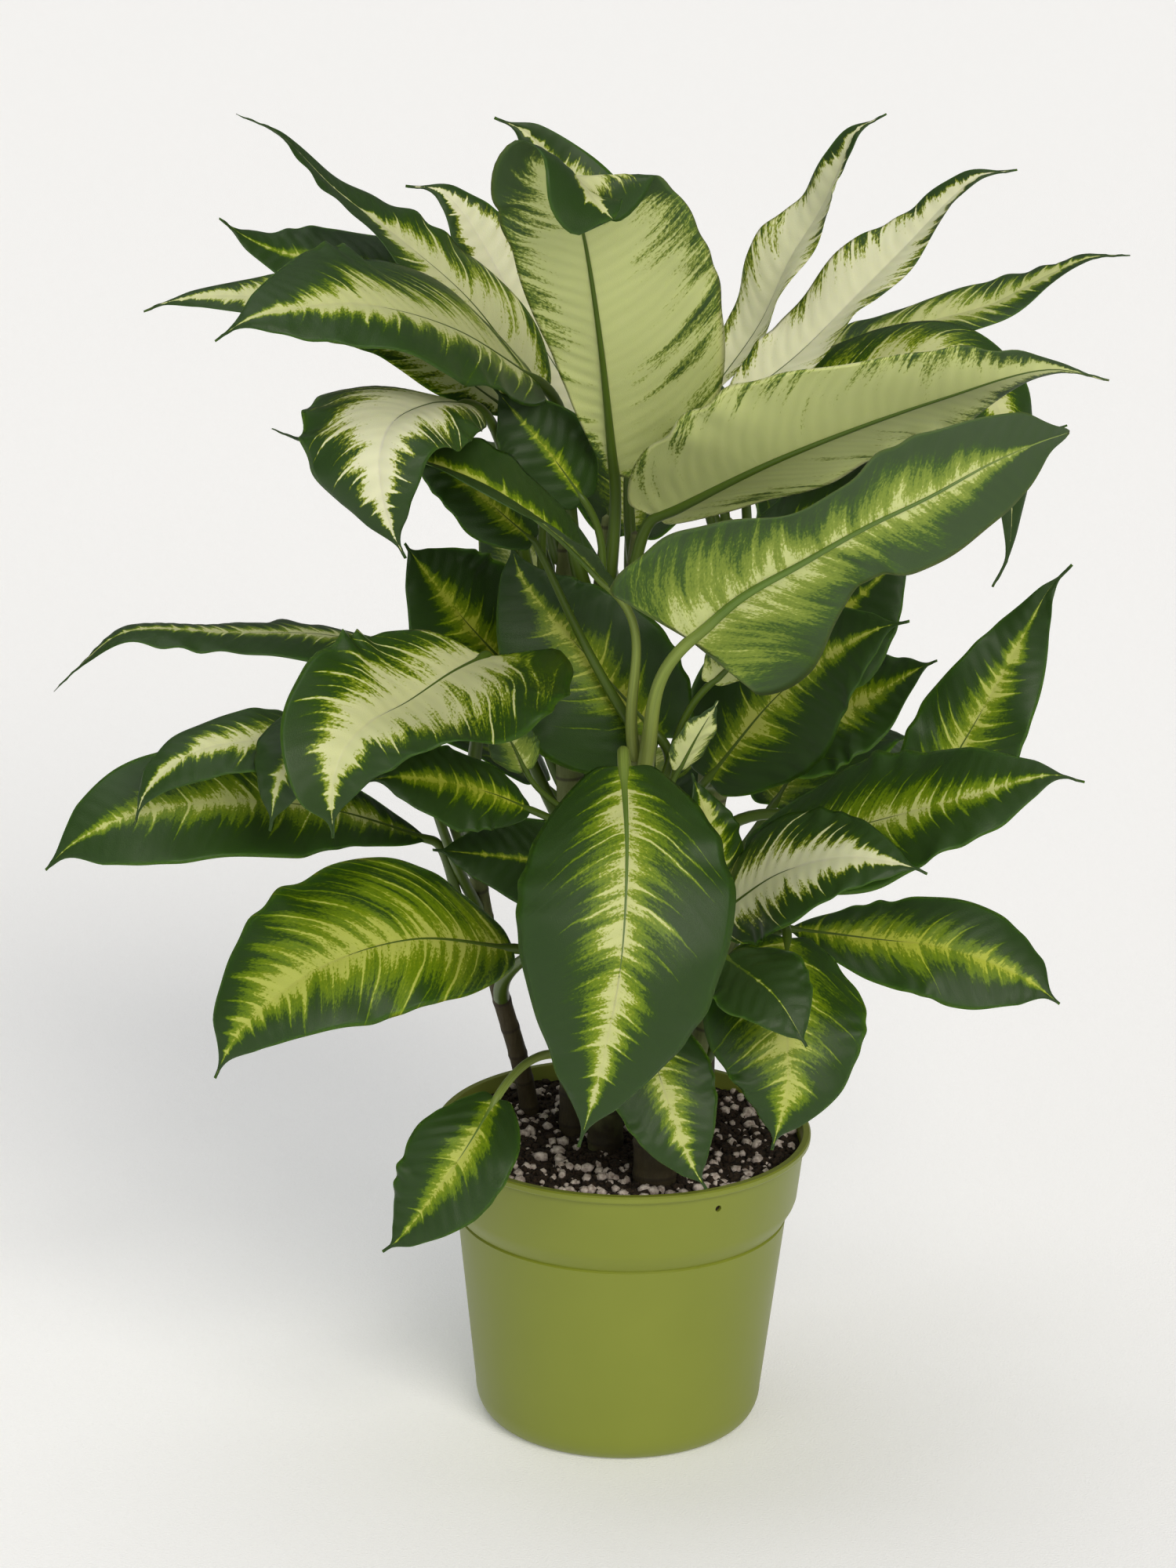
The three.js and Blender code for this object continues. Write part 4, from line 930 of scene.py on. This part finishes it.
def stalk_skin():
    """Fleshy leaf stalk: yellow-green, finely striped along its length, greener as a midrib. A
    stalk that lies in shade is painted a dark green, as painted shade.
    """
    material, shader, add = new_material("stalk_skin", IOR=1.42, Roughness=0.42)
    place = add("UVMap", uv_map="blade")[0]
    spread = add("Mapping", {0: place, "Scale": (14, 5, 1)})[0]
    stripes = add("TexNoise", {"Vector": spread, "Scale": 1, "Detail": 3})["Fac"]
    ramp = add("ValToRGB", [add("SeparateXYZ", [place])[1]])[0]
    stops = ramp.node.color_ramp.elements
    stops[0].color = linear("#8f9a4c")
    stops[1].position, stops[1].color = 1, linear("#93a552")
    for position, tone in ((0.33, "#8fa14a"), (0.42, "#5f7a2c"), (0.8, "#5b7530")):
        stops.new(position).color = linear(tone)
    # painted shade: a stalk that lies in shade is mixed toward this dark green, a lit one keeps the
    # pale ramp
    stem = add("Attribute", attribute_name="stem")["Fac"]
    colour = add("Mix", {0: stem, 6: linear("#4b6118"), 7: ramp}, data_type="RGBA")[2]
    shade = add("MapRange", {"Value": stripes, "From Min": 0.35, "From Max": 0.65,
        "To Min": 0.0, "To Max": 0.35})[0]
    colour = add("Mix", {0: shade, 6: colour, 7: linear("#34480f")}, data_type="RGBA")[2]
    bump = add("Bump", {"Height": stripes, "Strength": 0.3, "Distance": 0.3 * MM})[0]
    feed(shader, {"Base Color": colour, "Normal": bump})
    return material


def cane_bark():
    """Stem skin: brown-grey cork low down, green sheath higher up, ringed by leaf scars."""
    material, shader, add = new_material("cane_bark", IOR=1.45, Roughness=0.72)
    run = add("SeparateXYZ", [add("UVMap", uv_map="veins")[0]])[0]
    place = add("TexCoord")["Object"]
    height = add("SeparateXYZ", [place])[2]
    bark = add("Attribute", attribute_name="bark")["Fac"]
    # patches of 11 mm, and a grain 2.4 mm wide that is drawn out up the cane
    patches = add("TexNoise", {"Vector": place, "Scale": 90, "Detail": 4})["Fac"]
    drawn = add("Mapping", {0: place, "Scale": (1, 1, 0.2)})[0]
    grain = add("TexNoise", {"Vector": drawn, "Scale": 420, "Detail": 3})["Fac"]
    above = add("Math", [height, bark], operation="SUBTRACT")[0]
    ragged = add("Math", [patches, 0.08, above], operation="MULTIPLY_ADD")[0]
    green = add("MapRange", {"Value": ragged, "From Min": 0.02, "From Max": 0.07})[0]
    cork, sheath = (add("Mix", {0: patches, 6: linear(low), 7: linear(high)},
        data_type="RGBA")[2] for low, high in (("#1d190d", "#564b2e"), ("#414c22", "#838c50")))
    colour = add("Mix", {0: green, 6: cork, 7: sheath}, data_type="RGBA")[2]
    turn = add("Math", [run, math.tau * CM / NODE_STEP], operation="MULTIPLY")[0]
    wave = add("Math", [turn], operation="COSINE")[0]
    scar = add("MapRange", {"Value": wave, "From Min": -0.9, "From Max": -1.0,
        "To Min": 0.0, "To Max": 0.7})[0]
    colour = add("Mix", {0: scar, 6: colour, 7: linear("#2c2417")}, data_type="RGBA")[2]
    rough = add("Math", [grain, patches], operation="ADD")[0]
    bump = add("Bump", {"Height": rough, "Strength": 0.8, "Distance": 1.0 * MM})[0]
    feed(shader, {"Base Color": colour, "Normal": bump})
    return material


def pot_plastic():
    """Injection-moulded polypropylene: satin lime green, faintly clouded, with a fine skin."""
    material, shader, add = new_material("pot_plastic", IOR=1.49)
    place = add("TexCoord")["Object"]
    # clouds of 45 mm, and a skin of 1 mm, coarser than the real one so that it shows
    clouds = add("TexNoise", {"Vector": place, "Scale": 22, "Detail": 3})["Fac"]
    skin = add("TexNoise", {"Vector": place, "Scale": 900, "Detail": 2})["Fac"]
    colour = add("Mix", {0: clouds, 6: linear("#757f22"), 7: linear("#7f882a")},
        data_type="RGBA")[2]
    gloss = add("MapRange", {"Value": clouds, "From Min": 0.3, "From Max": 0.7,
        "To Min": 0.38, "To Max": 0.46})[0]
    bump = add("Bump", {"Height": skin, "Strength": 0.12, "Distance": 0.1 * MM})[0]
    feed(shader, {"Base Color": colour, "Roughness": gloss, "Normal": bump})
    return material


def crumbly(name, dark, light, per_metre, roughness, glow=0):
    """Loose mineral, peat or paper: two tones broken up at the size of its crumbs, no gloss."""
    material, shader, add = new_material(name, Roughness=roughness, IOR=1.4)
    place = add("TexCoord")["Object"]
    tones = add("TexNoise", {"Vector": place, "Scale": per_metre, "Detail": 5})["Fac"]
    spread = add("MapRange", {"Value": tones, "From Min": 0.35, "From Max": 0.65})[0]
    colour = add("Mix", {0: spread, 6: linear(dark), 7: linear(light)}, data_type="RGBA")[2]
    bump = add("Bump", {"Height": tones, "Strength": 0.8, "Distance": 0.6 * MM})[0]
    feed(shader, {"Base Color": colour, "Normal": bump})
    if glow:
        feed(shader, {"Emission Color": linear(SKY["colour"]), "Emission Strength": glow})
    return material


# ---- studio ----


def aim(thing, place, target, roll=0):
    way = Vector(target) - Vector(place)
    turn = way.to_track_quat("-Z", "Y").to_matrix().to_4x4()
    place = Matrix.Translation(Vector(place) * MM)
    thing.matrix_world = place @ turn @ Matrix.Rotation(math.radians(roll), 4, "Z")


def add_lamp(name, place, width, power, colour):
    light = bpy.data.lights.new(name, "SUN")
    light.angle = math.radians(width)
    light.energy = power
    light.color = linear(colour)[:3]
    aim(place_in_scene(name, light), place, CAMERA["target"])


def make_studio():
    scene = bpy.context.scene
    camera = place_in_scene("camera", bpy.data.cameras.new("camera"))
    camera.data.sensor_width = 36
    camera.data.lens = CAMERA["lens"]
    camera.data.clip_start, camera.data.clip_end = 0.05, 50
    aim(camera, CAMERA["place"], CAMERA["target"], CAMERA["roll"])
    scene.camera = camera
    for name, lamp in LAMPS.items():
        add_lamp(name, **lamp)
    world = bpy.data.worlds.new("studio")
    scene.world = world
    world.use_nodes = True
    feed(world.node_tree.nodes["Background"],
        {"Color": linear(SKY["colour"]), "Strength": SKY["strength"]})
    scene.view_settings.view_transform = "Standard"
    shape = bmesh.new()
    bmesh.ops.create_grid(shape, x_segments=1, y_segments=1, size=FLOOR_SIZE / 2 * MM)
    # white card with a faint tooth of 1 mm
    paper = crumbly("studio_paper", "#f8f8f7", "#fafafa", per_metre=900, roughness=0.9,
        glow=FLOOR_GLOW)
    floor = shape_in_scene("floor", shape, [paper])


# ---- the plant ----


def make_plant():
    # the upper side is glossy and strongly marked; the under side is paler, duller and more ribbed
    top_skin = leaf_skin("leaf_top_skin", dict(cream="#e0e0c0", old_cream="#adb63c",
        yellow="#adb62e", old_yellow="#87980f", bright="#657f08", green="#2e4a06",
        margin="#2a4217"), roughness=0.38, relief=1.5, rays=0.85)
    under_skin = leaf_skin("leaf_under_skin", dict(cream="#d3d99f", old_cream="#bdc672",
        yellow="#aeb95a", old_yellow="#9aa744", bright="#7e9236", green="#456120",
        margin="#3b4f2c"), roughness=0.52, relief=2.5, rays=0.3)
    skins = [top_skin, under_skin, stalk_skin()]
    bark = cane_bark()
    canes = {name: cane_route(form) for name, form in CANES.items()}
    for name, form in CANES.items():
        make_cane(name, form, canes[name], bark)
    phases = seeded(LEAF_SEED)
    for name, own in LEAVES.items():
        leaf = {**MOST_LEAVES, **own}
        make_leaf(name, leaf, canes[leaf["cane"]], next(phases), skins)
    make_pot(pot_plastic())
    # damp milled peat, nearly black, and perlite, which is puffed volcanic glass, off-white
    make_soil(crumbly("peat", "#130d09", "#3a2d20", per_metre=700, roughness=1.0),
        crumbly("perlite", "#94857b", "#d6cabf", per_metre=500, roughness=0.85))


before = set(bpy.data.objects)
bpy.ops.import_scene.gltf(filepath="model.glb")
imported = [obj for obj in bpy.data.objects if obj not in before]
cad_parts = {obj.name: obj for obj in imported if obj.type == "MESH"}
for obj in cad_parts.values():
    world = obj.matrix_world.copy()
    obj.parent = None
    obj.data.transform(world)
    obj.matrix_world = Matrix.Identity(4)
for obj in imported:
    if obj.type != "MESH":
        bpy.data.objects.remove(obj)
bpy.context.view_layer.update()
make_studio()
make_plant()
